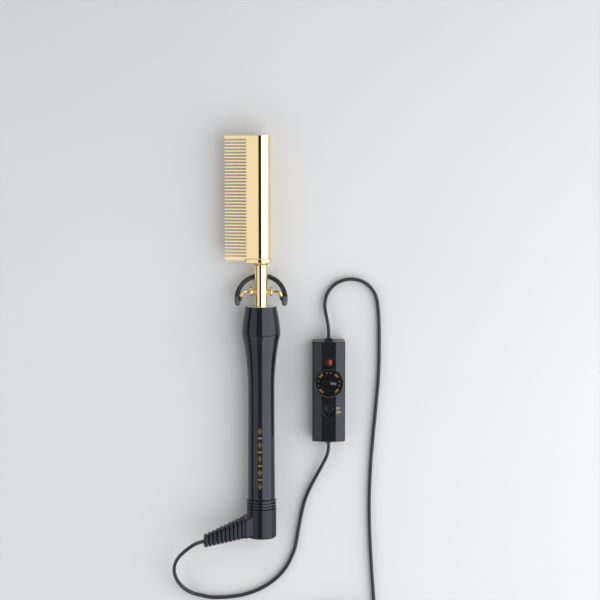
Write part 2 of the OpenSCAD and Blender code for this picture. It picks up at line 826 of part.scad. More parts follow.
module handle_front_cap() {
    skin = [for (i = [1 : profile_steps]) let (u = handle_start + cap_len * i / profile_steps)
        [cap_r(u), u]];
    color("#23262b") on_comb() difference() {
        ring_of(concat(
            [[neck_r + 0.1, handle_start + edge_round], [neck_r + 0.8, handle_start],
             [cap_face_d / 2 - edge_round, handle_start],
             [cap_face_d / 2, handle_start + edge_round]],
            skin,
            [[cap_spigot_r, seam_u], [cap_spigot_r, seam_u + cap_spigot_len],
             [cap_bore_r, seam_u + cap_spigot_len], [cap_bore_r, handle_start + cap_wall],
             [neck_r + 0.1, handle_start + cap_wall]]));
    }
}

module neck_bush() {
    color("#6b4a2b") on_comb(handle_start + cap_wall) difference() {
        tube(bush_r, neck_r + press_gap, bush_len);
        translate([0, 0, pin_u - handle_start - cap_wall]) rotate([90, 0, 0])
            cylinder(r = pin_r, h = 2 * wide_r, center = true);
    }
}

module neck_pin() {
    color("#9a9da1") on_comb(pin_u) rotate([90, 0, 0])
        cylinder(r = pin_r - press_gap, h = 2 * bush_r - 1, center = true);
}

module handle_shell() {
    start = seam_u + 0.1;
    bore_step = seam_u + cap_spigot_len + 0.1;
    shoulder_end = seam_u + shoulder_len;
    skin = [for (i = [0 : profile_steps])
        let (u = start + (shoulder_end - start) * i / profile_steps) [grip_r(u), u]];
    lining = [for (i = [0 : profile_steps])
        let (u = shoulder_end - (shoulder_end - bore_step) * i / profile_steps)
        [grip_r(u) - handle_wall, u]];
    color("#23262b") on_comb() {
        ring_of(concat(
            skin,
            [[tail_r, ridges_u], [tail_r, tail_u], [spindle_r + press_gap, tail_u],
             [spindle_r + press_gap, tail_u - tail_wall], [tail_r - handle_wall, tail_u - tail_wall],
             [tail_r - handle_wall, ridges_u]],
            lining,
            [[cap_spigot_r + press_gap, bore_step], [cap_spigot_r + press_gap, start]]));
        for (i = [0 : ridge_count - 1])
            translate([0, 0, ridges_u + (i + 0.5) * ridge_pitch]) rotate_extrude()
                translate([ridge_r - ridge_bead_r, 0]) circle(r = ridge_bead_r, $fn = 24);
    }
}

// ---------- swivel ----------

module slip_ring_carrier() {
    color("#d9d2bf") on_comb() difference() {
        ring_of([[0, carrier_flange_u], [carrier_flange_r, carrier_flange_u],
                 [carrier_flange_r, tail_u - tail_wall], [spindle_r, tail_u - tail_wall],
                 [spindle_r, cavity_start + 0.05], [journal_r, cavity_start + 0.05],
                 [journal_r, clip_u], [clip_groove_r, clip_u], [clip_groove_r, clip_u + clip_t],
                 [journal_r, clip_u + clip_t], [journal_r, spindle_end], [0, spindle_end]]);
        translate([0, 0, carrier_flange_u - 1])
            cylinder(r = carrier_bore_r, h = spindle_end - carrier_flange_u + 2);
    }
}

module slip_ring(u) {
    color("#c8963c") on_comb(u) tube(slip_ring_r, journal_r + press_gap, slip_ring_w);
}

module front_slip_ring() {
    slip_ring(front_ring_u);
}

module rear_slip_ring() {
    slip_ring(rear_ring_u);
}

module retaining_clip() {
    slot = 2 * clip_groove_r - 0.6;
    color("#b4b7ba") on_comb(clip_u + 0.05) difference() {
        tube(clip_r, clip_groove_r + press_gap, clip_t - 0.1);
        translate([0, -slot / 2, -1]) cube([clip_r + 1, slot, clip_t + 2]);
    }
}

// The housing as one closed shell with the boot's block; the halves are cut from it
module housing_shell() {
    difference() {
        union() {
            difference() {
                union() {
                    on_comb() ring_of([[0, housing_start], [housing_r, housing_start],
                        [housing_r, housing_end - housing_round],
                        [housing_r - 0.3 * housing_round, housing_end - 0.3 * housing_round],
                        [housing_r - housing_round, housing_end], [0, housing_end]]);
                    swivel_block();
                }
                on_comb(cavity_start) cylinder(r = cavity_r, h = cavity_end - cavity_start);
            }
            on_comb() intersection() {
                translate([0, 0, cavity_start]) at_housing_screws()
                    cylinder(r = housing_post_r, h = cavity_end - cavity_start);
                cylinder(r = cavity_r + housing_wall / 2, h = far);
            }
        }
        on_comb(housing_start - 1) cylinder(r = spindle_r + slide_gap, h = housing_wall + 2);
        on_boot(-tenon_len) linear_extrude(tenon_len + block_over)
            round_rect(tenon_w, tenon_h, 1.5);
        on_boot(-block_depth) linear_extrude(block_depth + block_over)
            square([cord_hole_w, cord_hole_h], center = true);
        on_comb(split_u - housing_screw_len) at_housing_screws()
            cylinder(r = housing_screw_r, h = housing_len);
        on_comb(screw_seat_u) at_housing_screws()
            cylinder(r = housing_head_r + 0.1, h = housing_wall);
    }
}

// Block that holds the boot: it slants with the boot and ends square to the comb's axis
module swivel_block() {
    intersection() {
        on_boot(-block_depth) linear_extrude(block_depth + block_over)
            round_rect(block_w, block_h, block_round);
        on_swivel() translate([-boot_root_x, -far / 2, 0]) cube([boot_root_x, far, far]);
    }
}

module at_housing_screws() {
    for (y = [-1, 1]) translate([0, y * housing_screw_y, 0]) children();
}

module housing_half(from_u, to_u) {
    intersection() {
        housing_shell();
        on_comb(from_u) translate([-far / 2, -far / 2, 0]) cube([far, far, to_u - from_u]);
    }
}

module swivel_housing_front() {
    color("#24272d") housing_half(housing_start - 1, split_u);
}

module swivel_housing_rear() {
    color("#24272d") housing_half(split_u, housing_end + 1);
}

module contact_brushes() {
    chord = sqrt(pow(cavity_r, 2) - pow(brush_y + brush_t, 2)) - 0.05;
    color("#c8963c") on_comb() {
        translate([-chord, brush_y, front_ring_u + 0.3]) cube([2 * chord, brush_t, brush_w]);
        translate([-chord, -brush_y - brush_t, rear_ring_u + 0.3]) cube([2 * chord, brush_t, brush_w]);
    }
}

module housing_screws() {
    color("#8d9095") on_comb() at_housing_screws() {
        translate([0, 0, screw_seat_u + press_gap])
            cylinder(r = housing_head_r, h = housing_wall / 2 - 0.2);
        translate([0, 0, split_u - housing_screw_len + 0.1])
            cylinder(r = housing_screw_r - press_gap, h = screw_seat_u - split_u + housing_screw_len);
    }
}

// Section of the boot: a rectangle with round corners, a little lower than wide
module boot_section(w) {
    round_rect(w, w * boot_h_share, w * boot_corner_share);
}

function rib_w(i) = boot_root_w + (boot_tip_w - boot_root_w) * i / (rib_count - 1);

module cord_boot() {
    color("#2c3037") difference() {
        union() {
            for (i = [0 : rib_count - 1])
                on_rib(i * rib_pitch) linear_extrude(rib_t) boot_section(rib_w(i));
            for (i = [0 : rib_count - 2])
                on_rib((i + (1 + rib_share) / 2) * rib_pitch)
                    linear_extrude(groove_w + 2 * rib_overlap, center = true)
                        boot_section(rib_w(i) - 2 * groove_depth);
            on_boot(-tenon_len + 0.1) linear_extrude(tenon_len + block_over)
                round_rect(tenon_w - 0.1, tenon_h - 0.1, 1.45);
        }
        on_boot(-tenon_len - 1) linear_extrude(boot_len + tenon_len + 2)
            square([cord_hole_w, cord_hole_h], center = true);
    }
}

// ---------- control ----------

// Outside of the case, or its inside when inset by the wall
module case_solid(inset) {
    intersection() {
        translate([0, 0, inset]) linear_extrude(far)
            round_rect(case_w - 2 * inset, case_len - 2 * inset, case_round);
        rotate([90, 0, 0]) linear_extrude(case_len + 2, center = true) case_section(inset);
    }
}

// The case seen from its end: upright sides, round shoulders, a sloping facet each side, a flat crown
module case_section(inset) {
    round = case_shoulder - inset;
    side_x = shoulder_x + round;
    facet_x = shoulder_x + round * sin(facet_angle);
    facet_z = shoulder_z + round * cos(facet_angle);
    crown_x = crown_w / 2 - inset * tan(facet_angle / 2);
    polygon([[-side_x, 0], [side_x, 0], [side_x, shoulder_z], [facet_x, facet_z],
             [crown_x, case_h - inset], [-crown_x, case_h - inset],
             [-facet_x, facet_z], [-side_x, shoulder_z]]);
    for (side = [-1, 1]) translate([side * shoulder_x, shoulder_z]) circle(r = round);
}

module case_posts(height) {
    for (side = [-1, 1]) translate([side * screw_x, side * screw_y, 0])
        cylinder(r = boss_r, h = height);
}

module screw_holes(r, from, to) {
    for (side = [-1, 1]) translate([side * screw_x, side * screw_y, from]) cylinder(r = r, h = to - from);
}

// Space for both glands in the end walls, half in the base and half in the cover
module gland_spaces() {
    for (side = [0, 180]) rotate(side) translate([0, case_end, split_h]) rotate([90, 0, 0]) {
        translate([0, 0, -1]) linear_extrude(case_wall + 2)
            square([gland_w + 2 * close_gap, gland_h + 2 * close_gap], center = true);
    }
}

module control_base() {
    color("#17191d") on_case() difference() {
        intersection() {
            union() {
                case_skin(split_h);
                for (x = [-1, 1], y = [-1, 1])
                    translate([x * (board_w / 2 - 1.5), y * (board_len / 2 - 3), case_wall - tiny])
                        cylinder(r = 1.5, h = board_z - case_wall + tiny);
            }
            translate([-far / 2, -far / 2, 0]) cube([far, far, split_h]);
        }
        screw_holes(screw_r + 0.1, -1, split_h + 1);
        screw_holes(screw_head_r + 0.1, -1, screw_head_t + 0.2);
        gland_spaces();
    }
}

// Skin of the case with its screw posts, before the joint is cut
module case_skin(post_height) {
    difference() {
        case_solid(0);
        case_solid(case_wall);
    }
    intersection() {
        case_posts(post_height);
        case_solid(case_wall / 2);
    }
}

// Thicker wall under the slide switch's recess
module recess_pad() {
    intersection() {
        translate([0, switch_y - case_y, case_h - recess_depth - case_wall])
            linear_extrude(recess_depth + case_wall) oval(recess_w + 2, recess_len + 2);
        case_solid(case_wall / 2);
    }
}

module control_cover() {
    color("#1b1e24") on_case() difference() {
        union() {
            intersection() {
                union() {
                    case_skin(case_h);
                    recess_pad();
                }
                translate([-far / 2, -far / 2, split_h]) cube([far, far, far]);
            }
            translate([0, dial_offset, case_side_h]) cylinder(r = pedestal_r, h = pedestal_h - case_side_h);
        }
        translate([0, dial_offset, 0]) cylinder(r = pedestal_r - case_wall, h = pedestal_h - case_wall);
        translate([0, dial_offset, split_h]) cylinder(r = shaft_r + 0.4, h = far);
        translate([0, dial_offset + lamp_offset, split_h]) linear_extrude(far)
            oval(lens_w + 2 * close_gap, lens_len + 2 * close_gap);
        translate([0, switch_y - case_y, case_h - recess_depth]) linear_extrude(far)
            oval(recess_w, recess_len);
        translate([0, switch_y - case_y, split_h]) linear_extrude(far)
            square([stem_w + 0.6, stem_w + switch_travel + 0.6], center = true);
        screw_holes(screw_r, split_h - 1, screw_len + 0.5);
        gland_spaces();
    }
}

module cover_screws() {
    color("#8d9095") on_case() for (side = [-1, 1])
        translate([side * screw_x, side * screw_y, 0.2]) {
            cylinder(r = screw_head_r, h = screw_head_t);
            cylinder(r = screw_r - press_gap, h = screw_len - 0.2);
        }
}

module circuit_board() {
    color("#3f6b3a") on_case(0, 0, board_z) linear_extrude(board_t)
        square([board_w, board_len], center = true);
}

module potentiometer() {
    color("#7d8086") on_case(0, dial_offset, board_top) difference() {
        union() {
            linear_extrude(pot_h) square([pot_w, pot_w], center = true);
            translate([0, 0, pot_h]) cylinder(r = shaft_r + 1.2, h = 1.6);
        }
        translate([0, 0, 1]) cylinder(r = shaft_r + slide_gap, h = pot_h + 2);
    }
}

module dial_shaft() {
    color("#c4c6c9") on_case(0, dial_offset, board_top + 1.2) cylinder(r = shaft_r,
        h = shaft_top - board_top - 1.2);
}

module temperature_dial() {
    color("#121316") on_case(0, dial_offset, dial_z) difference() {
        union() {
            cylinder(r = dial_d / 2, h = dial_t - dial_dish);
            tube(dial_d / 2, dial_d / 2 - dial_rim, dial_t);
        }
        translate([0, 0, dial_t - dial_dish - pocket_depth]) linear_extrude(far) difference() {
            rotate(90) oval(pocket_h, pocket_w);
            square([dial_bar_len, dial_bar_w], center = true);
        }
        translate([0, 0, -1]) cylinder(r = shaft_r + press_gap, h = shaft_top - dial_z + 1);
    }
    color("#121316") on_case(0, dial_offset, dial_top - dial_dish - tiny)
        linear_extrude(dial_bar_h) difference() {
            square([dial_bar_len, dial_bar_w], center = true);
            translate([dial_bar_len / 2 - pointer_len, -pointer_w / 2]) square([pointer_len, pointer_w]);
        }
}

module dial_pointer() {
    color("#c9ccd2") on_case(dial_bar_len / 2 - pointer_len, dial_offset, dial_top - dial_dish)
        translate([0.05, 0.05 - pointer_w / 2, 0])
            cube([pointer_len - 0.1, pointer_w - 0.1, dial_bar_h + 0.1]);
}

module switch_body() {
    color("#3a3d42") on_case(0, switch_y - case_y, board_top) difference() {
        linear_extrude(switch_h) square([switch_w, switch_len], center = true);
        translate([0, 0, 1.5]) linear_extrude(switch_h)
            square([stem_w + 0.6, stem_w + switch_travel + 0.6], center = true);
    }
}

module switch_slider() {
    bottom = board_top + 1.8;
    color("#1a1c20") on_case(0, switch_y - case_y + slider_rest, 0) {
        difference() {
            translate([0, 0, slider_z]) cylinder(r = slider_d / 2, h = slider_h);
            translate([0, 0, slider_z + slider_h - slider_dish]) cylinder(r = slider_d / 2 - 0.9, h = 2);
        }
        translate([0, 0, bottom]) linear_extrude(slider_z - bottom + 0.5)
            square([stem_w, stem_w], center = true);
    }
}

module pilot_lamp() {
    top = case_h - case_wall - 1;
    color("#e8b98a") on_case(0, dial_offset + lamp_offset, board_top) {
        cylinder(r = lamp_r - 0.3, h = top - board_top - lamp_r);
        translate([0, 0, top - board_top - lamp_r]) sphere(r = lamp_r - 0.3);
    }
}

module lamp_lens() {
    color("#c8282d") on_case(0, dial_offset + lamp_offset, case_h - case_wall - 0.8)
        linear_extrude(case_wall + 1.1) oval(lens_w, lens_len);
}

module triac() {
    color("#2a2c30") on_case(0, 4 - board_len / 2, board_top)
        translate([-triac_w / 2, 0, 0]) cube([triac_w, 3, triac_h]);
}

module heat_sink() {
    color("#b9bcc0") on_case(0, 4 - board_len / 2 - sink_t, board_top)
        translate([-sink_w / 2, -press_gap, 0]) cube([sink_w, sink_t, sink_h]);
}

module terminal_block() {
    color("#d7d9dc") on_case(0, terminal_y, board_top) difference() {
        translate([-terminal_w / 2, 0, 0]) cube([terminal_w, terminal_len, terminal_h]);
        for (x = [-1, 1]) translate([x * terminal_w / 4, terminal_len / 2, 1.5])
            cylinder(r = 1.2, h = terminal_h);
    }
}

// The cord's two cores, from its stripped ends to the terminal block and to the board
module case_wires() {
    cord_end = gland_face_y - cord_in - core_gap;
    color("#e9e6df") on_case() for (side = [-1, 1]) {
        core_z = split_h + side * core_space / 2;
        rod([0, cord_end, core_z],
            [side * terminal_w / 4, terminal_y + terminal_len + core_gap, split_h + wire_core_r],
            wire_core_r);
        rod([0, -cord_end, core_z],
            [side * board_pad_x, 1 - board_len / 2, board_top + wire_core_r + core_gap / 2], wire_core_r);
    }
}

// A gland with a neck through the end wall and a flange at each side of it
module gland() {
    difference() {
        union() {
            translate([0, 0, -gland_out]) linear_extrude(gland_out - press_gap)
                round_rect(gland_w + 0.4, gland_h + 0.4, 1.2);
            translate([0, 0, -gland_out]) linear_extrude(gland_out + case_wall)
                square([gland_w, gland_h], center = true);
            translate([0, 0, case_wall + press_gap]) linear_extrude(gland_flange_t)
                square([gland_w + gland_flange, gland_h], center = true);
            translate([0, 0, case_wall - tiny]) linear_extrude(gland_flange_t)
                square([gland_w, gland_h], center = true);
        }
        translate([0, 0, -gland_out - 1]) linear_extrude(gland_out + case_wall + gland_flange_t + 2)
            square([cord_hole_w, cord_hole_h], center = true);
    }
}

module upper_gland() {
    color("#1b1e24") on_case(0, case_end, split_h) rotate([90, 0, 0]) gland();
}

module lower_gland() {
    color("#1b1e24") on_case(0, -case_end, split_h) rotate([-90, 0, 0]) gland();
}

comb_blade();
barrel_end_plug();
head_collar();
heater_core();
heating_winding();
mica_sleeve();
neck_tube();
pivot_lugs();
thermal_fuse();
heater_leads();
handle_leads();
lead_crimps();
stand_wires();
stand_foot();
handle_front_cap();
neck_bush();
neck_pin();
handle_shell();
slip_ring_carrier();
front_slip_ring();
rear_slip_ring();
retaining_clip();
swivel_housing_front();
swivel_housing_rear();
contact_brushes();
housing_screws();
cord_boot();
control_base();
control_cover();
cover_screws();
circuit_board();
potentiometer();
dial_shaft();
temperature_dial();
dial_pointer();
switch_body();
switch_slider();
pilot_lamp();
lamp_lens();
triac();
heat_sink();
terminal_block();
case_wires();
upper_gland();
lower_gland();
cord_short();
cord_long();
cord_coil();
cord_tie();
cord_tail();
plug_body();
plug_blades();
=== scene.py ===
from contextlib import contextmanager
from math import asin, atan, cos, hypot, pi, radians, sin, tan

import bmesh
import bpy
from mathutils import Matrix, Vector


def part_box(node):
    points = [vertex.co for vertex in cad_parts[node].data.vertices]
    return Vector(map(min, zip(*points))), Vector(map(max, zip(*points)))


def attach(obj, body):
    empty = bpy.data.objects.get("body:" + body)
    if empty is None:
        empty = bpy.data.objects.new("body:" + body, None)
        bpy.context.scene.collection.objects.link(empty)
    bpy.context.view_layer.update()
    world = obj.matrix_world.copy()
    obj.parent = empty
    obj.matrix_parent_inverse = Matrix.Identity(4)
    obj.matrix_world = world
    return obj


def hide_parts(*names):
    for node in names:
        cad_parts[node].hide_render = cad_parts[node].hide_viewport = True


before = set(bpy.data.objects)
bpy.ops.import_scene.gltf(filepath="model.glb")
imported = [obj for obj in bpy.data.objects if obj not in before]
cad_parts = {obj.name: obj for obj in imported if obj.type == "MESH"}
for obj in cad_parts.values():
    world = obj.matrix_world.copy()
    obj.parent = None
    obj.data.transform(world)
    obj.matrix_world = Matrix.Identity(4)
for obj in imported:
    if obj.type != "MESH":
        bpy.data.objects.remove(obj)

scene = bpy.context.scene
for leftover in ("Cube", "Light", "Camera"):
    if leftover in bpy.data.objects:
        bpy.data.objects.remove(bpy.data.objects[leftover])
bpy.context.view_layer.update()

# Everything below is in millimetres, and becomes metres where a mesh is made.
MM = 0.001


def box(node):
    low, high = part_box(node)
    return low / MM, high / MM


# ---------- places, from the frame ----------

shell_low, shell_high = box("handle_shell")
blade_low, blade_high = box("comb_blade")
rear_low, rear_high = box("swivel_housing_rear")
cover_low, cover_high = box("control_cover")
dial_low, dial_high = box("temperature_dial")
slider_low, slider_high = box("switch_slider")
lens_low, lens_high = box("lamp_lens")
tie_low, tie_high = box("cord_tie")
cap_high = box("handle_front_cap")[1]
collar_high = box("head_collar")[1]
front_high = box("swivel_housing_front")[1]

COMB_X = (shell_low.x + shell_high.x) / 2
COMB_Z = (shell_low.z + shell_high.z) / 2
HEAD_Y = blade_high.y
CASE_X = (cover_low.x + cover_high.x) / 2
CASE_Y = (cover_low.y + cover_high.y) / 2
DIAL_Y = (dial_low.y + dial_high.y) / 2

# ---------- sizes, as in the part's source ----------

TOOTH_COUNT, TOOTH_PITCH, TOOTH_T, TOOTH_ROOT = 36, 2.43, 1.15, 10.9
GUARD_TOP_T, GUARD_BOTTOM_T = 2.45, 2.95
TIP_ROUND, TIP_T = 0.9, 1.4
COLLAR_LEN, COLLAR_LIP = 3.4, 1.1
NECK_R, NECK_BEAD_D = 4.93, 11.3
PIVOT_DROP = 21.8
FOOT_R, FOOT_BAR_R = 18.5, 1.8
FOOT_TILT, FOOT_DROP = radians(20), 2.8
CAP_LEN, CAP_FACE_R = 21.4, 11.9
SHOULDER_LEN, WAIST_R, TAIL_R, GRIP_LEN = 48, 10.1, 10.5, 126.8
RIDGE_COUNT, RIDGE_PITCH, RIDGE_R = 3, 2.37, 11.4
SWIVEL_TURN = radians(11)
BOOT_ANGLE, BOOT_LEN, BOOT_ROOT_W, BOOT_TIP_W = radians(17), 32, 15.2, 9.2
BLOCK_REACH, BOOT_DROP, BLOCK_ROUND = 2.4, 4.15, 1.8
RIB_COUNT, RIB_SHARE, BOOT_H_SHARE = 10, 0.76, 0.97
CORD_W, CORD_T, CORD_IN = 4.4, 2.5, 4
COIL_MEAN_R, COIL_COLUMNS = 25, 5
DIAL_Z, DIAL_T, DIAL_DISH = 17.0, 2.6, 0.5
POCKET_W, POCKET_H = 13.4, 8.6
SWITCH_OFFSET = 21
CASE_H, CASE_SIDE_H, CASE_SHOULDER, CROWN_W, SPLIT_H = 16.5, 13.6, 2.4, 11, 7
GLAND_LEN = 1.6

# ---------- sizes of the looks alone, which depart from the source --------------------------

BOOT_CORNER, RIB_GAP, BLOCK_RISE = 0.22, 1.5, 1.5
RIDGE_GROOVE, RIDGE_DEPTH, RIDGE_CREST = 0.7, 1.3, 1.05
WIRE_STEPS, ELBOW_R, WIRE_GAP = 96, 1.4, 0.15
SOCKET_START, SOCKET_R, SOCKET_END = radians(5), FOOT_BAR_R + 0.4, radians(10.5)
DIAL_RIM, RIM_DROP = 0.38, 0.32
KNOB_TURN, KNOB_RISE = radians(-8), 0.5
LENS_SHIFT, LENS_EDGE = 0.75, 0.3
ORNAMENT_LIFT, PRINT_LIFT = 0.035, 0.03

# ---------- derived ----------

barrel_r = blade_high.x - COMB_X
tooth_reach = COMB_X - blade_low.x
wedge = asin(barrel_r / hypot(tooth_reach, TIP_T / 2)) - atan(TIP_T / 2 / tooth_reach)
teeth_start = GUARD_TOP_T + TOOTH_PITCH - TOOTH_T
teeth_end = teeth_start + TOOTH_COUNT * TOOTH_PITCH
head_len = teeth_end + GUARD_BOTTOM_T
barrel_len = HEAD_Y - collar_high.y
collar_end = barrel_len + COLLAR_LEN
collar_reach = TOOTH_ROOT + COLLAR_LIP / 2
pivot_u = collar_end + PIVOT_DROP
handle_start = HEAD_Y - cap_high.y
seam_u = handle_start + CAP_LEN
wide_r = cap_high.z - COMB_Z
ridges_u = seam_u + GRIP_LEN
tail_u = ridges_u + RIDGE_COUNT * RIDGE_PITCH
housing_start = HEAD_Y - front_high.y
split_u = HEAD_Y - rear_high.y
housing_end = HEAD_Y - rear_low.y
housing_r = front_high.x - COMB_X
boot_root_x = housing_r + BLOCK_REACH
boot_root_u = split_u + BOOT_DROP
rib_pitch = BOOT_LEN / (RIB_COUNT - 1 + RIB_SHARE)
case_w = cover_high.x - cover_low.x
case_len = cover_high.y - cover_low.y
gland_face = case_len / 2 + GLAND_LEN
dial_r = (dial_high.x - dial_low.x) / 2
dial_top = DIAL_Z + DIAL_T
dial_floor = dial_top - DIAL_DISH


def on_comb(x, y, u):
    return Vector((COMB_X + x, HEAD_Y - u, COMB_Z + y))


def turned(x, y, angle):
    return x * cos(angle) - y * sin(angle), x * sin(angle) + y * cos(angle)


def on_swivel(x, y, u):
    """In the comb's frame, turned about its axis with the swivel housing."""
    return on_comb(*turned(x, y, -SWIVEL_TURN), u)


def on_boot(a, b, d):
    """a across, b up, d along the boot from its root."""
    x = -boot_root_x + a * sin(BOOT_ANGLE) - d * cos(BOOT_ANGLE)
    u = boot_root_u + a * cos(BOOT_ANGLE) + d * sin(BOOT_ANGLE)
    return on_swivel(x, b, u)


def on_rib(a, b, d):
    """As on_boot, but with a along the comb's axis: the ribs stand square to it."""
    return on_swivel(-boot_root_x - d * cos(BOOT_ANGLE), b, boot_root_u + d * sin(BOOT_ANGLE) + a)


def placed_at(x0, y0):
    """Places points measured from (x0, y0), with their height above the table."""
    return lambda x, y, z: Vector((x0 + x, y0 + y, z))


on_case, on_dial = placed_at(CASE_X, CASE_Y), placed_at(CASE_X, DIAL_Y)


def on_knob(x, y, z):
    """On the dial, turned with the finger bar."""
    x, y = turned(x, y, KNOB_TURN)
    return on_dial(x, y + KNOB_RISE, z)


PLUG = Vector((12, -268, 7.5))


def on_plug(a, b, d):
    """a up, b to the side, d along the plug towards its blades."""
    return PLUG + Vector((-d, b, a))


def add(name, data):
    """A new object in the scene."""
    obj = bpy.data.objects.new(name, data)
    scene.collection.objects.link(obj)
    return obj


# ---------- camera ----------

AIM = Vector((33.2, 29.35, 14.77)) * MM
EYE = Vector((33.2, 138.35, 1214.77)) * MM
camera = add("camera", bpy.data.cameras.new("camera"))
camera.data.lens = 95.13
camera.data.sensor_width = 36
camera.data.clip_start, camera.data.clip_end = 0.05, 20
camera.location = EYE
look = (AIM - EYE).normalized()
right = look.cross(Vector((0, 1, 0))).normalized()
camera.rotation_euler = Matrix((right, right.cross(look), -look)).transposed().to_euler()
scene.camera = camera

# ---------- mesh helpers ----------


@contextmanager
def editing(mesh):
    """The mesh as a bmesh, written back at the end."""
    bm = bmesh.new()
    bm.from_mesh(mesh)
    yield bm
    bm.to_mesh(mesh)
    bm.free()


def build(name, points, faces, sharp=32, weighted=False):
    """A smooth mesh object from points in millimetres, with edges sharper than the angle kept."""
    mesh = bpy.data.meshes.new(name)
    mesh.from_pydata([Vector(p) * MM for p in points], [], faces)
    with editing(mesh) as bm:
        bmesh.ops.remove_doubles(bm, verts=bm.verts, dist=1e-7)
        bmesh.ops.recalc_face_normals(bm, faces=bm.faces)
    return shade(add(name, mesh), sharp, weighted)


def shade(obj, sharp=32, weighted=False):
    obj.data.shade_smooth()
    obj.data.set_sharp_from_angle(angle=radians(sharp))
    if weighted and "weighted" not in obj.modifiers:
        modifier = obj.modifiers.new("weighted", "WEIGHTED_NORMAL")
        modifier.weight = 100
        modifier.keep_sharp = True
    return obj


def rounded(corners, closed=False, steps=4):
    """Points of an outline whose corners are (x, y, radius)."""
    out = []
    n = len(corners)
    for i, (x, y, r) in enumerate(corners):
        if r == 0 or (not closed and i in (0, n - 1)):
            out.append((x, y))
            continue
        p = Vector((x, y))
        a = Vector(corners[i - 1][:2]) - p
        b = Vector(corners[(i + 1) % n][:2]) - p
        half = a.angle(b) / 2
        cut = min(r / tan(half), 0.48 * a.length, 0.48 * b.length)
        r = cut * tan(half)
        a.normalize()
        b.normalize()
        centre = p + (a + b).normalized() * (r / sin(half))
        start = p + a * cut - centre
        turn = pi - 2 * half
        if start.x * (b.y * cut + p.y - centre.y) - start.y * (b.x * cut + p.x - centre.x) < 0:
            turn = -turn
        for k in range(steps + 1):
            t = turn * k / steps
            out.append((centre.x + start.x * cos(t) - start.y * sin(t),
                        centre.y + start.x * sin(t) + start.y * cos(t)))
    return out


def lathe(name, profile, at, segments=96, **shading):
    """Turns (radius, along) points around an axis; at(a, b, along) gives a place."""
    points, rows = [], []
    for r, along in profile:
        if r < 1e-6:
            rows.append([len(points)])
            points.append(at(0, 0, along))
        else:
            rows.append(list(range(len(points), len(points) + segments)))
            points += [at(r * cos(2 * pi * k / segments), r * sin(2 * pi * k / segments), along)
                       for k in range(segments)]
    faces = []
    for a, b in zip(rows, rows[1:]):
        for k in range(segments):
            n = (k + 1) % segments
            if len(a) > 1 and len(b) > 1:
                faces.append((a[k], b[k], b[n], a[n]))
            elif len(b) > 1:
                faces.append((a[0], b[k], b[n]))
            elif len(a) > 1:
                faces.append((a[k], b[0], a[n]))
    return build(name, points, faces, **shading)


def loft(name, rings, capped=True, loop=False, **shading):
    """Joins closed rings of as many placed points each; a loop's last ring meets its first."""
    n, last = len(rings[0]), len(rings) - 1
    points = [p for ring in rings for p in ring]
    faces = []
    for i in range(last + loop):
        j = (i + 1) % len(rings)
        for k in range(n):
            m = (k + 1) % n
            faces.append((i * n + k, j * n + k, j * n + m, i * n + m))
    if capped and not loop:
        faces += [tuple(range(n)), tuple(range(last * n, (last + 1) * n))]
    return build(name, points, faces, **shading)


def prism(name, outline, place, low, high):
    return loft(name, [[place(x, y, z) for x, y in outline] for z in (low, high)])


def sweep_rings(path, section, up=None, sizes=None):
    """Rings of a section along a path. With up given the section stays on edge."""
    rings = []
    last = len(path) - 1
    side = None
    for i, p in enumerate(path):
        along = (path[min(i + 1, last)] - path[max(i - 1, 0)]).normalized()
        if up is not None:
            side = along.cross(up).normalized()
        elif side is None:
            side = along.orthogonal().normalized()
        else:
            side = (side - along * side.dot(along)).normalized()
        top = side.cross(along)
        size = sizes[i] if sizes else 1
        rings.append([p + (side * a + top * b) * size for a, b in section])
    return rings


def ease(value, start, end):
    """0 before start, 1 after end, and a smooth step between."""
    f = min(max((value - start) / (end - start), 0), 1)
    return f * f * (3 - 2 * f)


def circle(r, n=24):
    return [(r * cos(2 * pi * k / n), r * sin(2 * pi * k / n)) for k in range(n)]


def rect(w, h, r, steps=5):
    return rounded([(w / 2, h / 2, r), (-w / 2, h / 2, r), (-w / 2, -h / 2, r), (w / 2, -h / 2, r)],
                   closed=True, steps=steps)


def oval(w, length):
    """Outline with straight sides, long along the second axis."""
    half, n = (length - w) / 2, 16
    top = [(w / 2 * cos(pi * k / n), half + w / 2 * sin(pi * k / n)) for k in range(n + 1)]
    return top + [(-x, -y) for x, y in top]


def evaluated(obj):
    """A new mesh of what the object shows, with its modifiers applied."""
    bpy.context.view_layer.update()
    shown = obj.evaluated_get(bpy.context.evaluated_depsgraph_get())
    return bpy.data.meshes.new_from_object(shown)


def cut(obj, tool, operation="DIFFERENCE"):
    """Applies a boolean of the tool's mesh to the object's mesh, and removes the tool."""
    modifier = obj.modifiers.new("cut", "BOOLEAN")
    modifier.operation = operation
    modifier.solver = "EXACT"
    modifier.object = tool
    result = evaluated(obj)
    obj.modifiers.remove(modifier)
    obj.data = result
    bpy.data.objects.remove(tool)
    return obj


def soften(obj, width, angle=32, segments=2, only=None):
    """Bevels the edges whose faces meet at more than the angle."""
    with editing(obj.data) as bm:
        bmesh.ops.remove_doubles(bm, verts=bm.verts, dist=2e-6)
        edges = [e for e in bm.edges
                 if len(e.link_faces) == 2 and e.calc_face_angle() > radians(angle)
                 and (only is None or only(e))]
        bmesh.ops.bevel(bm, geom=edges, offset=width * MM, offset_type="OFFSET",
                        segments=segments, profile=0.5, affect="EDGES", clamp_overlap=True)
        bmesh.ops.recalc_face_normals(bm, faces=bm.faces)
    return obj


def near(x, y, r, level):
    """Picks edges within r of a place on the case whose heights pass the test."""
    return lambda e: all(level(v.co.z / MM) and hypot(v.co.x / MM - x, v.co.y / MM - y) < r
                         for v in e.verts)


# ---------- materials ----------


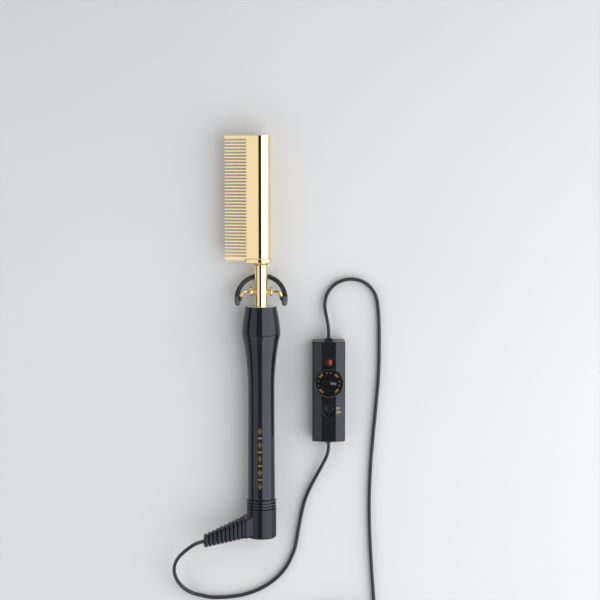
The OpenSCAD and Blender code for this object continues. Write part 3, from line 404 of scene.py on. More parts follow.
def feed(tree, node, **values):
    """Sets inputs. Each value is a number, a vector or the socket that it comes from."""
    for name, value in values.items():
        socket = node.inputs[name.replace("_", " ")]
        if isinstance(value, bpy.types.NodeSocket):
            tree.links.new(value, socket)
        else:
            socket.default_value = value
    return node


def add_node(tree, kind, **values):
    return feed(tree, tree.nodes.new("ShaderNode" + kind), **values)


def noise(tree, scale, stretch=(1, 1, 1), detail=4.0):
    coords = add_node(tree, "TexCoord").outputs["Object"]
    mapping = add_node(tree, "Mapping", Vector=coords, Scale=stretch).outputs["Vector"]
    return add_node(tree, "TexNoise", Vector=mapping, Scale=scale, Detail=detail).outputs["Fac"]


def mapped(tree, value, low, high, start=0.35, end=0.65):
    return add_node(tree, "MapRange", Value=value, From_Min=start, From_Max=end, To_Min=low,
                    To_Max=high).outputs["Result"]


def mixed(tree, factor, a, b):
    node = add_node(tree, "Mix", Factor=factor)
    node.data_type = "RGBA"
    for socket, colour in (("A", a), ("B", b)):
        target = [s for s in node.inputs if s.name == socket and s.type == "RGBA"][0]
        if isinstance(colour, tuple):
            target.default_value = (*colour, 1)
        else:
            tree.links.new(colour, target)
    return [s for s in node.outputs if s.type == "RGBA"][0]


def finish(name, a, b, rough, patch, grain, relief, depth, metallic=0.0, stretch=(1, 1, 1),
           dust=None, **sockets):
    """A material of two close colours in soft patches, with uneven gloss and a fine grain."""
    material = bpy.data.materials.new(name)
    material.use_nodes = True
    tree = material.node_tree
    colour = mixed(tree, mapped(tree, noise(tree, patch, stretch), 0, 1), a, b)
    if dust:
        grey, share = dust
        specks = mapped(tree, noise(tree, grain * 0.4, detail=2), 0, share, 0.66, 0.8)
        colour = mixed(tree, specks, colour, (grey, grey, grey + 0.005))
    gloss = mapped(tree, noise(tree, patch * 3.1, stretch, detail=6), *rough)
    bump = add_node(tree, "Bump", Strength=relief, Distance=depth * MM)
    feed(tree, bump, Height=noise(tree, grain, stretch, detail=3))
    feed(tree, tree.nodes["Principled BSDF"], Metallic=metallic, Base_Color=colour,
         Roughness=gloss, Normal=bump.outputs["Normal"], **sockets)
    return material


ALONG = (1, 0.06, 1)
BLUISH = (0.80, 0.89, 1.0, 1)
PAINT = {
    "gold_plate": finish("gold plate", (0.96, 0.765, 0.43), (0.92, 0.72, 0.39), (0.05, 0.09), 35,
        900, 0.04, 0.01, 1.0, stretch=ALONG),
    "gold_tube": finish("gold plated tube", (0.94, 0.75, 0.41), (0.90, 0.70, 0.36), (0.04, 0.08),
        40, 1200, 0.03, 0.01, 1.0, stretch=ALONG),
    "gold_fittings": finish("gold fittings", (0.86, 0.66, 0.32), (0.78, 0.57, 0.24), (0.04, 0.08),
        120, 2500, 0.05, 0.01, 1.0),
    "braze": finish("brazed bead", (0.62, 0.40, 0.15), (0.42, 0.25, 0.09), (0.16, 0.32), 260, 1800,
        0.2, 0.03, 1.0),
    "handle_black": finish("glossy black moulding", (0.010, 0.011, 0.013), (0.014, 0.015, 0.018),
        (0.09, 0.15), 45, 2600, 0.025, 0.01, dust=(0.05, 0.25), IOR=1.5, Specular_Tint=BLUISH),
    "swivel_black": finish("satin black moulding", (0.006, 0.007, 0.009), (0.009, 0.010, 0.013),
        (0.22, 0.29), 55, 3200, 0.08, 0.02, dust=(0.05, 0.3), IOR=1.44, Specular_Tint=BLUISH),
    "boot_rubber": finish("boot rubber", (0.011, 0.013, 0.018), (0.017, 0.020, 0.027),
        (0.36, 0.48), 90, 3800, 0.12, 0.03, dust=(0.06, 0.3), IOR=1.40, Specular_Tint=BLUISH),
    "foot_black": finish("foot moulding", (0.012, 0.014, 0.017), (0.018, 0.021, 0.025),
        (0.24, 0.34), 150, 3600, 0.08, 0.02),
    # Lighter grey on the foot's sockets: a painted highlight of the bank on their tops.
    "socket_painted_highlight": finish("foot sockets", (0.085, 0.090, 0.100), (0.105, 0.110, 0.120), (0.30, 0.42),
        190, 3600, 0.08, 0.02),
    "case_black": finish("glossy case", (0.009, 0.010, 0.012), (0.013, 0.014, 0.017), (0.09, 0.15),
        60, 3000, 0.02, 0.01, dust=(0.05, 0.3), IOR=1.5, Specular_Tint=BLUISH),
    "base_black": finish("textured base", (0.012, 0.012, 0.014), (0.018, 0.018, 0.021),
        (0.40, 0.52), 80, 5200, 0.35, 0.05),
    "dial_black": finish("dial moulding", (0.006, 0.006, 0.007), (0.009, 0.009, 0.010),
        (0.10, 0.16), 120, 4200, 0.03, 0.02),
    "pointer_pale": finish("pale pointer", (0.10, 0.104, 0.125), (0.15, 0.154, 0.18), (0.30, 0.42),
        400, 4000, 0.1, 0.02),
    "slider_black": finish("slider moulding", (0.006, 0.007, 0.008), (0.010, 0.011, 0.012),
        (0.18, 0.26), 160, 4200, 0.05, 0.02, IOR=1.33),
    "print_gold": finish("gold print", (0.62, 0.37, 0.11), (0.50, 0.29, 0.08), (0.32, 0.45), 500,
        5000, 0.08, 0.01, 0.3),
    "print_pale": finish("pale gold print", (0.62, 0.45, 0.23), (0.54, 0.38, 0.19), (0.40, 0.52),
        700, 5000, 0.08, 0.01),
    "cord_black": finish("cord insulation", (0.013, 0.015, 0.020), (0.021, 0.024, 0.031),
        (0.34, 0.48), 70, 3000, 0.14, 0.03, dust=(0.08, 0.3)),
    "tie_black": finish("tie plastic", (0.024, 0.025, 0.029), (0.034, 0.036, 0.040), (0.35, 0.5),
        160, 3600, 0.12, 0.03),
    "plug_black": finish("plug moulding", (0.012, 0.013, 0.015), (0.019, 0.020, 0.023),
        (0.36, 0.48), 70, 3400, 0.18, 0.03, dust=(0.07, 0.3)),
    "blade_metal": finish("nickel plate", (0.66, 0.65, 0.61), (0.58, 0.57, 0.53), (0.16, 0.30),
        120, 2600, 0.1, 0.01, 1.0, stretch=(0.08, 1, 1)),
    "lens_red": finish("red lens", (0.62, 0.020, 0.022), (0.50, 0.012, 0.014), (0.08, 0.14), 350,
        900, 0.15, 0.05, Transmission_Weight=0.25, Subsurface_Weight=0.2, IOR=1.49),
    "steel": finish("zinc plated steel", (0.46, 0.47, 0.48), (0.36, 0.37, 0.39), (0.25, 0.42), 160,
        2600, 0.1, 0.02, 1.0),
    # A pale ring on the cap's face: a painted reflection, standing in for the bright reflection on
    # the glossy black face.
    "washer": finish("painted reflection ring", (0.70, 0.76, 0.80), (0.64, 0.70, 0.74), (0.10, 0.18), 160,
        2600, 0.05, 0.01, 0.6),
    "contact_brass": finish("contact brass", (0.72, 0.50, 0.20), (0.60, 0.40, 0.15), (0.20, 0.35),
        180, 2600, 0.08, 0.01, 1.0),
    "ceramic_white": finish("steatite ceramic", (0.78, 0.74, 0.66), (0.68, 0.64, 0.56),
        (0.45, 0.6), 90, 3000, 0.2, 0.03),
    "winding": finish("heating wire", (0.36, 0.34, 0.31), (0.24, 0.21, 0.19), (0.3, 0.45), 300,
        3000, 0.2, 0.03, 1.0),
    "mica": finish("mica sheet", (0.50, 0.40, 0.22), (0.38, 0.29, 0.14), (0.2, 0.35), 120, 1500,
        0.15, 0.02),
    "phenolic": finish("phenolic", (0.15, 0.07, 0.03), (0.09, 0.04, 0.02), (0.35, 0.5), 200, 2600,
        0.15, 0.03),
    "lead_sleeve": finish("glass fibre sleeve", (0.70, 0.67, 0.58), (0.56, 0.53, 0.45),
        (0.6, 0.75), 500, 3500, 0.5, 0.08),
    "board_green": finish("circuit board", (0.02, 0.10, 0.045), (0.03, 0.14, 0.06), (0.3, 0.42),
        150, 2600, 0.1, 0.02),
    "component_grey": finish("component plastic", (0.09, 0.09, 0.10), (0.13, 0.13, 0.14),
        (0.4, 0.55), 150, 3000, 0.15, 0.03),
    "sink_metal": finish("sink aluminium", (0.62, 0.63, 0.65), (0.52, 0.53, 0.55), (0.3, 0.45),
        150, 2600, 0.1, 0.02, 1.0),
    "lamp_glass": finish("lamp glass", (0.75, 0.36, 0.16), (0.66, 0.28, 0.10), (0.05, 0.12), 200,
        2600, 0.05, 0.01, Transmission_Weight=0.5),
}
PAINT["fuse_metal"] = PAINT["steel"]
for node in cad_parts.values():
    for used in node.material_slots:
        used.material = PAINT[used.material.name.split(".")[0]]


def fit(piece, body, slot, *nodes, paint=None):
    """Gives a piece the slot's material, or the paint's where one is given, and its body, and hides
    the CAD nodes that it stands for.
    """
    piece.data.materials.clear()
    piece.data.materials.append(PAINT[paint or slot])
    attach(piece, body)
    if nodes:
        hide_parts(*nodes)
    return piece


# ---------- cords ----------


def smooth_route(route, steps):
    """The same curve as in the part's source, through the route's points."""
    last = len(route) - 1
    out = []
    for i in range(last):
        a, b, c, d = (Vector(route[min(max(i + k, 0), last)]) for k in (-1, 0, 1, 2))
        for k in range(steps):
            f = k / steps
            out.append(0.5 * (2 * b + (c - a) * f + (2 * a - 5 * b + 4 * c - d) * f * f
                              + (3 * b - a - 3 * c + d) * f * f * f))
    out.append(Vector(route[-1]))
    return out


def length_of(path):
    return sum((b - a).length for a, b in zip(path, path[1:]))


def twin_section():
    """Two round cores side by side, one above the other, with a shallow web between them."""
    r = CORD_T / 2
    centre = CORD_W / 2 - r
    web = asin(0.62)
    upper = [(r * cos(t), centre + r * sin(t))
             for t in (-web + (pi + 2 * web) * k / 12 for k in range(13))]
    return upper + [(-x, -y) for x, y in upper]


boot_tip = on_boot(0, 0, BOOT_LEN)
boot_dir = (on_boot(0, 0, 1) - on_boot(0, 0, 0)).normalized()
short_route = [boot_tip + boot_dir * d for d in (-20, -10, 0, 8)] + [
    (-55.6, -163.4, 24.4), (-61.2, -170.2, 21.2), (-63.8, -178.3, 16.4), (-62.9, -186.8, 11.4),
    (-59, -194.3, 7.2), (-52.7, -199.9, 4.4), (-44, -203.2, 2.8), (-32, -205, 2.3),
    (-12, -203, 2.3), (6, -196, 2.3), (20, -184, 2.3), (28.5, -168, 2.3), (32, -151, 2.3),
    (34.2, -139.5, 2.3), (36.4, -130, 2.3), (39.6, -121, 2.6), (43.4, -112.9, 3.3),
    (47.2, -105.6, 4.4), (50.8, -98.6, 5.7), (53.9, -92, 6.7)] + [
    on_case(0, -gland_face - d, SPLIT_H) for d in (5, 0, -CORD_IN)]
long_route = [on_case(0, gland_face + d, SPLIT_H) for d in (-CORD_IN, 0, 5)] + [
    (54.6, 10.4, 6.4), (53.2, 17, 5), (52.3, 24.2, 3.6), (53.8, 32, 2.6), (58.1, 38.5, 2.3),
    (64.7, 42.8, 2.3), (72.5, 44.3, 2.3), (80.3, 42.8, 2.3), (86.9, 38.4, 2.3), (91.3, 31.8, 2.3),
    (93, 24, 2.3), (93.8, 14, 2.3), (94.2, -5, 2.3), (93.8, -29, 2.3), (92, -53, 2.3),
    (89.8, -77, 2.3), (88, -100, 2.3), (87, -127, 2.3), (87.5, -154, 2.3), (89, -181, 2.3),
    (90.9, -208, 2.3), (92, -228, 2.3), (92.2, -243, 2.3)]
tail_route = [(62, -273.2, 6.6), (55.5, -272.9, 6.7), (49.5, -271.7, 6.9), (44.2, -269.9, 7.2),
              (39, -268.5, 7.4), (34, -268, 7.5), (30, -268, 7.5)]
COIL = Vector((62, -243, 0))
COIL_PITCH = CORD_T + 0.1
COIL_TURNS, STEP_TURN, LOW_LAYER, LAYER_RISE = 8.25, 0.17, 2.3, 4.3
outer_r = COIL_MEAN_R + (COIL_COLUMNS - 1) / 2 * COIL_PITCH
inner_turns = COIL_COLUMNS - 1
step_r = outer_r - (inner_turns + STEP_TURN) * COIL_PITCH


def on_coil(turn):
    """Inwards along the lower layer, up a step, and outwards along the upper layer."""
    up = ease(turn, inner_turns, inner_turns + STEP_TURN)
    if turn < inner_turns + STEP_TURN:
        r = outer_r - turn * COIL_PITCH
    else:
        f = (turn - inner_turns - STEP_TURN) / (COIL_TURNS - inner_turns - STEP_TURN)
        r = step_r + (outer_r - step_r) * f
    a = -2 * pi * turn
    return COIL + Vector((r * cos(a), r * sin(a), LOW_LAYER + up * LAYER_RISE))


COIL_STEPS = 40
coil_path = [on_coil(k / COIL_STEPS) for k in range(1, int(COIL_TURNS * COIL_STEPS))]
UP = Vector((0, 0, 1))


def cord_piece(name, path):
    return loft(name, sweep_rings(path, twin_section(), UP), sharp=50)


short_path = smooth_route(short_route, 5)
cord_short = fit(cord_piece("cord_short_lead", short_path), "cord_side", "cord_black",
                 "cord_short")
long_path = smooth_route(long_route, 5) + coil_path + smooth_route(tail_route, 5)
cord_long = fit(cord_piece("cord_long_lead", long_path), "cord_side", "cord_black",
                "cord_long", "cord_coil", "cord_tail")

# ---------- comb head ----------


def head_y(reach, r=barrel_r):
    return (r - reach * sin(wedge)) / cos(wedge)


def barrel_arc(r, steps):
    """The head's round back, from one flat face to the other."""
    return [(r * cos(t), r * sin(t))
            for t in (pi / 2 + wedge - (pi + 2 * wedge) * k / steps for k in range(steps + 1))]


def blade_outline():
    """Outline of wedge and teeth seen from above: distance towards the tips, and u."""
    root_fillet = 0.25
    out = [(barrel_r * sin(wedge), 0, 0), (tooth_reach, 0, TIP_ROUND),
           (tooth_reach, GUARD_TOP_T, TIP_ROUND), (TOOTH_ROOT, GUARD_TOP_T + 0.02, root_fillet)]
    for i in range(TOOTH_COUNT):
        middle = teeth_start + i * TOOTH_PITCH + TOOTH_T / 2
        half_root, half_tip = TOOTH_T / 2 + 0.05, TOOTH_T / 2 - 0.07
        out += [(TOOTH_ROOT, middle - half_root, root_fillet),
                (tooth_reach, middle - half_tip, half_tip * 0.98),
                (tooth_reach, middle + half_tip, half_tip * 0.98),
                (TOOTH_ROOT, middle + half_root, root_fillet)]
    slot_end = collar_reach + 0.3
    return rounded(out + [(TOOTH_ROOT, teeth_end - 0.02, root_fillet),
                          (tooth_reach, teeth_end, TIP_ROUND),
                          (tooth_reach, head_len, TIP_ROUND), (slot_end, head_len, 0.4),
                          (slot_end, barrel_len, 0), (barrel_r * sin(wedge), barrel_len, 0)])


def make_blade():
    outline = blade_outline()
    n = len(outline)
    points = [on_comb(-x, head_y(x), u) for x, u in outline]
    points += [on_comb(-x, -head_y(x), u) for x, u in outline]
    faces = [tuple(range(n)), tuple(range(n, 2 * n))]
    faces += [(i, i + 1, n + i + 1, n + i) for i in range(n - 1)]
    arc, ends = 72, []
    for u in (0, barrel_len):
        first = len(points)
        points += [on_comb(a, b, u) for a, b in barrel_arc(barrel_r, arc)]
        ends.append(first)
        faces.append(tuple(range(first, first + arc + 1)))
    faces += [(ends[0] + k, ends[0] + k + 1, ends[1] + k + 1, ends[1] + k) for k in range(arc)]
    blade = build("comb_blade_casting", points, faces)
    soften(blade, 0.17)
    bore = rounded([(0, -1, 0), (5.9, -1, 0), (5.9, 1.5, 0), (0, 1.5, 0)])
    cut(blade, lathe("bore", bore, on_comb))
    return shade(blade, 40, weighted=True)


fit(make_blade(), "comb", "gold_plate", "comb_blade")

plug_r = 5.85
fit(lathe("barrel_end_disc", rounded([(0, 0.22, 0), (3.2, 0.22, 0.3), (3.6, 0.05, 0.3),
                                      (plug_r, 0.05, 0.3), (plug_r, 1.45, 0), (0, 1.45, 0)]),
          on_comb), "comb", "gold_plate", "barrel_end_plug")


def head_ring(grow, reach, corner, u):
    """Outline of barrel and wedge, cut off at reach, with round corners there."""
    r = barrel_r + grow
    y = head_y(reach, r)
    arc = barrel_arc(r, 56)
    outline = rounded([(*arc[-1], 0), (-reach, -y, corner), (-reach, y, corner), (*arc[0], 0)],
                      steps=6)
    return [on_comb(a, b, u) for a, b in arc[:-1] + outline[:-1]]


def edge_steps(start, end, radius, steps=5):
    """(place, inset) pairs of a length whose two ends are rounded."""
    curve = [(radius * (1 - cos(pi / 2 * k / steps)), radius * (1 - sin(pi / 2 * k / steps)))
             for k in range(steps + 1)]
    return [(start + a, b) for a, b in curve] + [(end - a, b) for a, b in reversed(curve)]


collar_rings = [head_ring(COLLAR_LIP - inset, collar_reach - inset, max(1.1 - inset, 0.3), u)
                for u, inset in edge_steps(barrel_len, collar_end, 0.75)]
fit(loft("head_collar_ring", collar_rings, sharp=40, weighted=True), "comb", "gold_plate",
    "head_collar")

# ---------- neck and pivots ----------

neck_profile = [(NECK_R, collar_end - 2), (NECK_R, handle_start + 6)]
fit(lathe("neck_tube_skin", [(0, collar_end - 2), *neck_profile, (0, handle_start + 6)], on_comb),
    "comb", "gold_tube", "neck_tube")
bead_r = NECK_BEAD_D / 2
bead = rounded([(NECK_R - 0.3, collar_end - 0.2, 0), (bead_r, collar_end - 0.2, 0),
                (bead_r, collar_end + 0.75, 0.45), (NECK_R + 0.05, collar_end + 1.2, 0.8),
                (NECK_R - 0.05, collar_end + 2.6, 0)], steps=6)
fit(lathe("neck_braze_bead", bead, on_comb), "comb", "gold_tube", paint="braze")

LUG_SHANK_R, LUG_FLANGE_R = 1.7, 3.6
flange_x = NECK_R + 1.4
lug_end = flange_x + 2.4


def on_side(side):
    """Places a lathe's axis sideways, outwards from the pivot."""
    return lambda a, b, along: on_comb(side * along, b, pivot_u + a * side)


for side, label in ((-1, "left"), (1, "right")):
    lug = rounded([(0, NECK_R - 0.6, 0), (2.7, NECK_R - 0.6, 0), (2.5, NECK_R + 0.1, 0.3),
                   (LUG_SHANK_R, NECK_R + 0.65, 0.4), (LUG_SHANK_R, flange_x, 0.25),
                   (LUG_FLANGE_R - 0.2, flange_x, 0.7),
                   (LUG_FLANGE_R, (flange_x + lug_end) / 2, 1.0),
                   (LUG_FLANGE_R - 0.2, lug_end, 0.7), (1.5, lug_end, 0.3),
                   (1.5, lug_end - 0.35, 0.2),
                   (0.97, lug_end - 0.35, 0), (0.97, NECK_R + 0.7, 0), (0, NECK_R + 0.7, 0)])
    fit(lathe(f"pivot_lug_{label}", lug, on_side(side), 48), "comb", "gold_fittings",
        "pivot_lugs")

# ---------- stand ----------

WIRE_R, BEND_R, BEND = 0.95, 2.4, radians(64)
bend_x = FOOT_R - 6.3
wire_root = NECK_R + 0.7
elbow_start = bend_x - wire_root


def at_wire_end(side):
    """Places a lathe's axis along a wire's free end."""
    def place(a, b, along):
        x = bend_x + BEND_R * sin(BEND) + along * cos(BEND) - a * sin(BEND)
        u = BEND_R * (1 - cos(BEND)) + along * sin(BEND) + a * cos(BEND)
        return on_comb(side * x, b, pivot_u + u)
    return place


def wire_point(side, along):
    """A point on a wire: along the pivot, round the bend, then along the free end."""
    if along <= elbow_start:
        x, u = wire_root + along, 0
    elif along <= elbow_start + BEND_R * BEND:
        a = (along - elbow_start) / BEND_R
        x, u = bend_x + BEND_R * sin(a), BEND_R * (1 - cos(a))
    else:
        return at_wire_end(side)(0, 0, along - elbow_start - BEND_R * BEND)
    return on_comb(side * x, 0, pivot_u + u)


def foot_point(angle):
    """A point on the foot's arc, 0 at its right end."""
    x = FOOT_R * cos(angle)
    z = 6.1 - FOOT_R * sin(angle)
    return on_comb(x, z * sin(FOOT_TILT) - FOOT_DROP, pivot_u + z * cos(FOOT_TILT))


wire_len = elbow_start + BEND_R * BEND + 5


def foot_end(side):
    """Rings of a foot's swollen end, which holds its wire."""
    steps, sweep, grow = 22, SOCKET_START + SOCKET_END, SOCKET_R - FOOT_BAR_R
    path = []
    for k in range(steps + 1):
        place = foot_point(SOCKET_START - sweep * k / steps)
        place = foot_centre + (place - foot_centre) * ((FOOT_R - grow) / FOOT_R)
        place.x = COMB_X + side * (place.x - COMB_X)
        path.append(place)
    sizes = [FOOT_BAR_R - 0.05 + (grow + 0.05) * ease(FOOT_R * sweep * k / steps, 0, 0.9)
             for k in range(steps + 1)]
    rings = sweep_rings(path, circle(1, 28), sizes=sizes)
    return rings + rounded_end(rings[-1], path[-1], (path[-1] - path[-2]).normalized(), SOCKET_R)


def rounded_end(ring, centre, direction, r):
    """Rings that close a round bar with a hemisphere."""
    out, steps = [], 6
    for k in range(1, steps + 1):
        t = pi / 2 * k / steps * 0.98
        out.append([centre + (p - centre) * cos(t) + direction * (r * sin(t)) for p in ring])
    return out


foot_centre = (foot_point(0) + foot_point(pi)) / 2
for side, label in ((-1, "left"), (1, "right")):
    places = [WIRE_GAP + (wire_len - WIRE_GAP) * k / WIRE_STEPS for k in range(WIRE_STEPS + 1)]
    path = [wire_point(side, along) for along in places]
    sizes = [WIRE_R + (ELBOW_R - WIRE_R) * ease(along, elbow_start - 2.4, elbow_start + 1.6)
             for along in places]
    fit(loft(f"stand_wire_{label}", sweep_rings(path, circle(1, 24), sizes=sizes), sharp=50),
        "stand", "gold_fittings", "stand_wires")
    # The sockets' lighter grey is a painted highlight of the bank on their tops.
    fit(loft(f"foot_socket_{label}", foot_end(side), sharp=60), "stand", "foot_black",
        paint="socket_painted_highlight")
    sleeve_profile = rounded([(1.3, 2.6, 0), (1.75, 2.6, 0.2), (1.95, 3.4, 0.3), (1.95, 6.0, 0.4),
                              (0, 6.0, 0)])
    fit(lathe(f"foot_wire_sleeve_{label}", sleeve_profile, at_wire_end(side), 36), "stand",
        "foot_black")

ARC_STEPS = 76
bar_path = [foot_point(-radians(4) + (pi + radians(8)) * k / ARC_STEPS)
            for k in range(ARC_STEPS + 1)]
fit(loft("stand_foot_bar", sweep_rings(bar_path, circle(FOOT_BAR_R, 28)), sharp=60), "stand",
    "foot_black", "stand_foot")

# ---------- handle ----------


def cap_r(u):
    return CAP_FACE_R + (wide_r - CAP_FACE_R) * sin(pi / 2 * (u - handle_start) / CAP_LEN) ** 1.15


def grip_r(u):
    if u < seam_u + SHOULDER_LEN:
        return WAIST_R + (wide_r - WAIST_R) * (1 - (u - seam_u) / SHOULDER_LEN) ** 2.35
    return WAIST_R + (TAIL_R - WAIST_R) * (u - seam_u - SHOULDER_LEN) / (GRIP_LEN - SHOULDER_LEN)


SEAM = 0.12
cap_skin = [(cap_r(u), u) for u in (handle_start + CAP_LEN * k / 40 for k in range(2, 40))]
face_u = handle_start + SEAM
cap_profile = rounded([(NECK_R + 0.12, handle_start + 3, 0), (NECK_R + 0.12, face_u, 0.3),
                       (CAP_FACE_R, face_u, 0.5), (*cap_skin[0], 0)])
cap_profile += cap_skin[1:] + [(wide_r - 0.03, seam_u - 2 * SEAM),
                               (wide_r - SEAM, seam_u - SEAM / 2),
                               (wide_r - 1.2, seam_u - SEAM / 2)]
fit(lathe("handle_cap_skin", cap_profile, on_comb, 128), "comb", "handle_black",
    "handle_front_cap")

# The cap's face gets a pale metal ring: a painted reflection, standing in for the bright reflection
# that the glossy black face shows.
painted_reflection_profile = rounded([(NECK_R + 0.3, face_u + 0.1, 0), (NECK_R + 0.3, handle_start, 0.05),
                     (CAP_FACE_R - 0.35, handle_start, 0.1), (CAP_FACE_R - 0.3, face_u + 0.1, 0)])
fit(lathe("handle_cap_washer", painted_reflection_profile, on_comb, 96), "comb", "handle_black", paint="washer")

grip_skin = [(grip_r(u), u) for u in (seam_u + 3 * SEAM + (GRIP_LEN - 3 * SEAM) * k / 110
                                      for k in range(111))]
ridge_skin = []
for i in range(RIDGE_COUNT):
    middle = ridges_u + (i + 0.5) * RIDGE_PITCH
    foot, crest = (RIDGE_PITCH - RIDGE_GROOVE) / 2, RIDGE_CREST / 2
    ridge_skin += rounded([(RIDGE_R - RIDGE_DEPTH, middle - foot, 0),
                           (RIDGE_R, middle - crest, 0.2), (RIDGE_R, middle + crest, 0.2),
                           (RIDGE_R - RIDGE_DEPTH, middle + foot, 0)], steps=5)
shell_profile = ([(wide_r - 1.2, seam_u + SEAM), (wide_r - SEAM - 0.05, seam_u + SEAM)]
                 + grip_skin[:-1] + ridge_skin
                 + [(TAIL_R - 0.3, tail_u), (5.1, tail_u), (5.1, tail_u - 2)])
fit(lathe("handle_shell_skin", shell_profile, on_comb, 128), "comb", "handle_black",
    "handle_shell")

# A plain gold ornament lies along the grip: a row of lozenges and small dots.
ORNAMENT_ANGLE = radians(5.5)
ORNAMENT_START, ORNAMENT_LEN = 221.0, 48.0


def on_grip(s, u):
    """s is measured round the handle from the ornament's middle line."""
    t = pi / 2 + ORNAMENT_ANGLE + s / grip_r(u)
    r = grip_r(u) + ORNAMENT_LIFT
    return on_comb(r * cos(t), r * sin(t), u)


def ornament():
    points, faces = [], []

    def strip(pairs):
        first = len(points)
        for (s0, u0), (s1, u1) in pairs:
            points.extend([on_grip(s0, u0), on_grip(s1, u1)])
        faces.extend([(first + 2 * k, first + 2 * k + 1, first + 2 * k + 3, first + 2 * k + 2)
                      for k in range(len(pairs) - 1)])

    def lozenge(u, length, width, s=0.0):
        steps = 8
        for k in range(steps):
            near, far = (((1 - abs(2 * (k + i) / steps - 1)) * width / 2,
                          u - length / 2 + length * (k + i) / steps) for i in (0, 1))
            strip([((s - near[0], near[1]), (s + near[0], near[1])),
                   ((s - far[0], far[1]), (s + far[0], far[1]))])

    count = 9
    unit = ORNAMENT_LEN / count
    for k in range(count):
        middle = ORNAMENT_START + unit * (k + 0.5)
        if k % 2:
            for s in (-1.15, 0, 1.15):
                lozenge(middle, 1.5 if s else 2.6, 0.75 if s else 0.9, s)
        else:
            lozenge(middle, 2.9, 3.1)
            for way in (-1, 1):
                lozenge(middle + way * 2.05, 0.8, 0.8)
    return build("handle_ornament", points, faces, sharp=180)


fit(ornament(), "comb", "handle_black", paint="print_gold")

# ---------- swivel housing and boot ----------


def housing_half(name, keep_front):
    """The housing with its block, cut at the joint, with the joint's edges softened."""
    profile = rounded([(0, housing_start, 0), (housing_r, housing_start, 0.5),
                       (housing_r, housing_end, 1.6), (0, housing_end, 0)], steps=6)
    half = lathe(name, profile, on_comb, 112)
    w, h, edge = BOOT_ROOT_W + 0.3, BOOT_ROOT_W * BOOT_H_SHARE + BLOCK_RISE, 0.45
    block = loft("block", [[on_rib(a, b, d)
                            for a, b in rect(w + 2 * i, h + 2 * min(i, 0), BLOCK_ROUND, 8)]
                           for d, i in ((-9.5, 0.55), (-edge, 0), (-edge * 0.35, -edge * 0.25),
                                        (0, -edge))])
    cut(half, block, "UNION")
    joint = on_comb(0, 0, split_u) * MM
    with editing(half.data) as bm:
        cutting = bmesh.ops.bisect_plane(
            bm, geom=bm.verts[:] + bm.edges[:] + bm.faces[:], dist=1e-7, plane_co=joint,
            plane_no=(0, -1 if keep_front else 1, 0), clear_outer=True)
        rim = [e for e in cutting["geom_cut"] if isinstance(e, bmesh.types.BMEdge)]
        bmesh.ops.holes_fill(bm, edges=rim, sides=0)
    soften(half, 0.14, 50, 2, only=lambda e: all(abs(v.co.y - joint.y) < 1e-6 for v in e.verts))
    return shade(half, 35, weighted=True)


for end in ("front", "rear"):
    fit(housing_half(f"swivel_{end}_skin", end == "front"), "cord_side", "swivel_black",
        f"swivel_housing_{end}")


def rib_w(i):
    return BOOT_ROOT_W + (BOOT_TIP_W - BOOT_ROOT_W) * i / (RIB_COUNT - 1)


def boot_ring(w, d):
    return [on_rib(a, b, d) for a, b in rect(w, w * BOOT_H_SHARE, w * BOOT_CORNER, 8)]


def make_boot():
    rings = [boot_ring(BOOT_ROOT_W - 2 * RIB_GAP, -0.5)]
    rib_len, edge = rib_pitch * RIB_SHARE, 0.3
    for i in range(RIB_COUNT):
        start, w = i * rib_pitch, rib_w(i)
        if i:
            rings.append(boot_ring(w - 2 * RIB_GAP, start - 0.05))
        rings.append(boot_ring(w - 2 * edge - 0.5, start))
        for d, inset in edge_steps(start, start + rib_len, edge, 3):
            rings.append(boot_ring(w - 2 * inset, d))
        if i < RIB_COUNT - 1:
            rings.append(boot_ring(w - 2 * edge - 0.5, start + rib_len))
            rings.append(boot_ring(w - 2 * RIB_GAP, start + rib_len + 0.05))
    tip = BOOT_LEN
    for w, h, d in ((5.6, 6.9, tip), (4.9, 6.2, tip - 0.4), (4.7, 6.0, tip - 6)):
        rings.append([on_rib(a, b, d) for a, b in rect(w, h, w * 0.3, 8)])
    return loft("cord_boot_skin", rings, sharp=50)


boot = fit(make_boot(), "cord_side", "boot_rubber", "cord_boot")

# ---------- in-line control ----------

facet = atan((CASE_H - CASE_SIDE_H) / (case_w / 2 - CROWN_W / 2))
shoulder_x = case_w / 2 - CASE_SHOULDER
shoulder_z = CASE_SIDE_H - CASE_SHOULDER * (1 - sin(facet)) / cos(facet)


def crown_z(x):
    """Height of the case's top: a flat crown with a sloping facet on each side."""
    return CASE_H - max(abs(x) - CROWN_W / 2, 0) * tan(facet)


def cover_ring(inset, y):
    """The case above its joint, seen from its end and drawn inwards by inset."""
    r, groove = CASE_SHOULDER - inset, 0.22
    side = shoulder_x + r
    right = [(side - groove, SPLIT_H + 0.02), (side - groove, SPLIT_H + 0.1),
             (side, SPLIT_H + 0.32)]
    for k in range(11):
        a = (pi / 2 - facet) * k / 10
        right.append((shoulder_x + r * cos(a), shoulder_z + r * sin(a)))
    edge_x = CROWN_W / 2 - inset * tan(facet / 2)
    bend = 0.45
    for k in range(6):
        a = facet * (1 - k / 5)
        right.append((edge_x - bend * (tan(facet / 2) - sin(a)),
                      CASE_H - inset - bend * (1 - cos(a))))
    left = [(-x, z) for x, z in reversed(right)]
    return [on_case(x, y, z) for x, z in right + left]


def make_cover():
    ends = edge_steps(-case_len / 2, case_len / 2, 0.7, 5)
    cover = loft("control_cover_skin", [cover_ring(inset, y) for y, inset in ends], sharp=40)
    middle = -SWITCH_OFFSET + DIAL_Y - CASE_Y
    outline = [(x, y + middle) for x, y in oval(9.2, 11)]
    cut(cover, prism("recess", outline, on_case, CASE_H - 1.1, CASE_H + 5))
    soften(cover, 0.2, 50, 2, only=near(CASE_X, DIAL_Y - SWITCH_OFFSET, 6.2,
                                        lambda z: z > 14.9))
    return shade(cover, 38, weighted=True)


fit(make_cover(), "cord_side", "case_black", "control_cover")

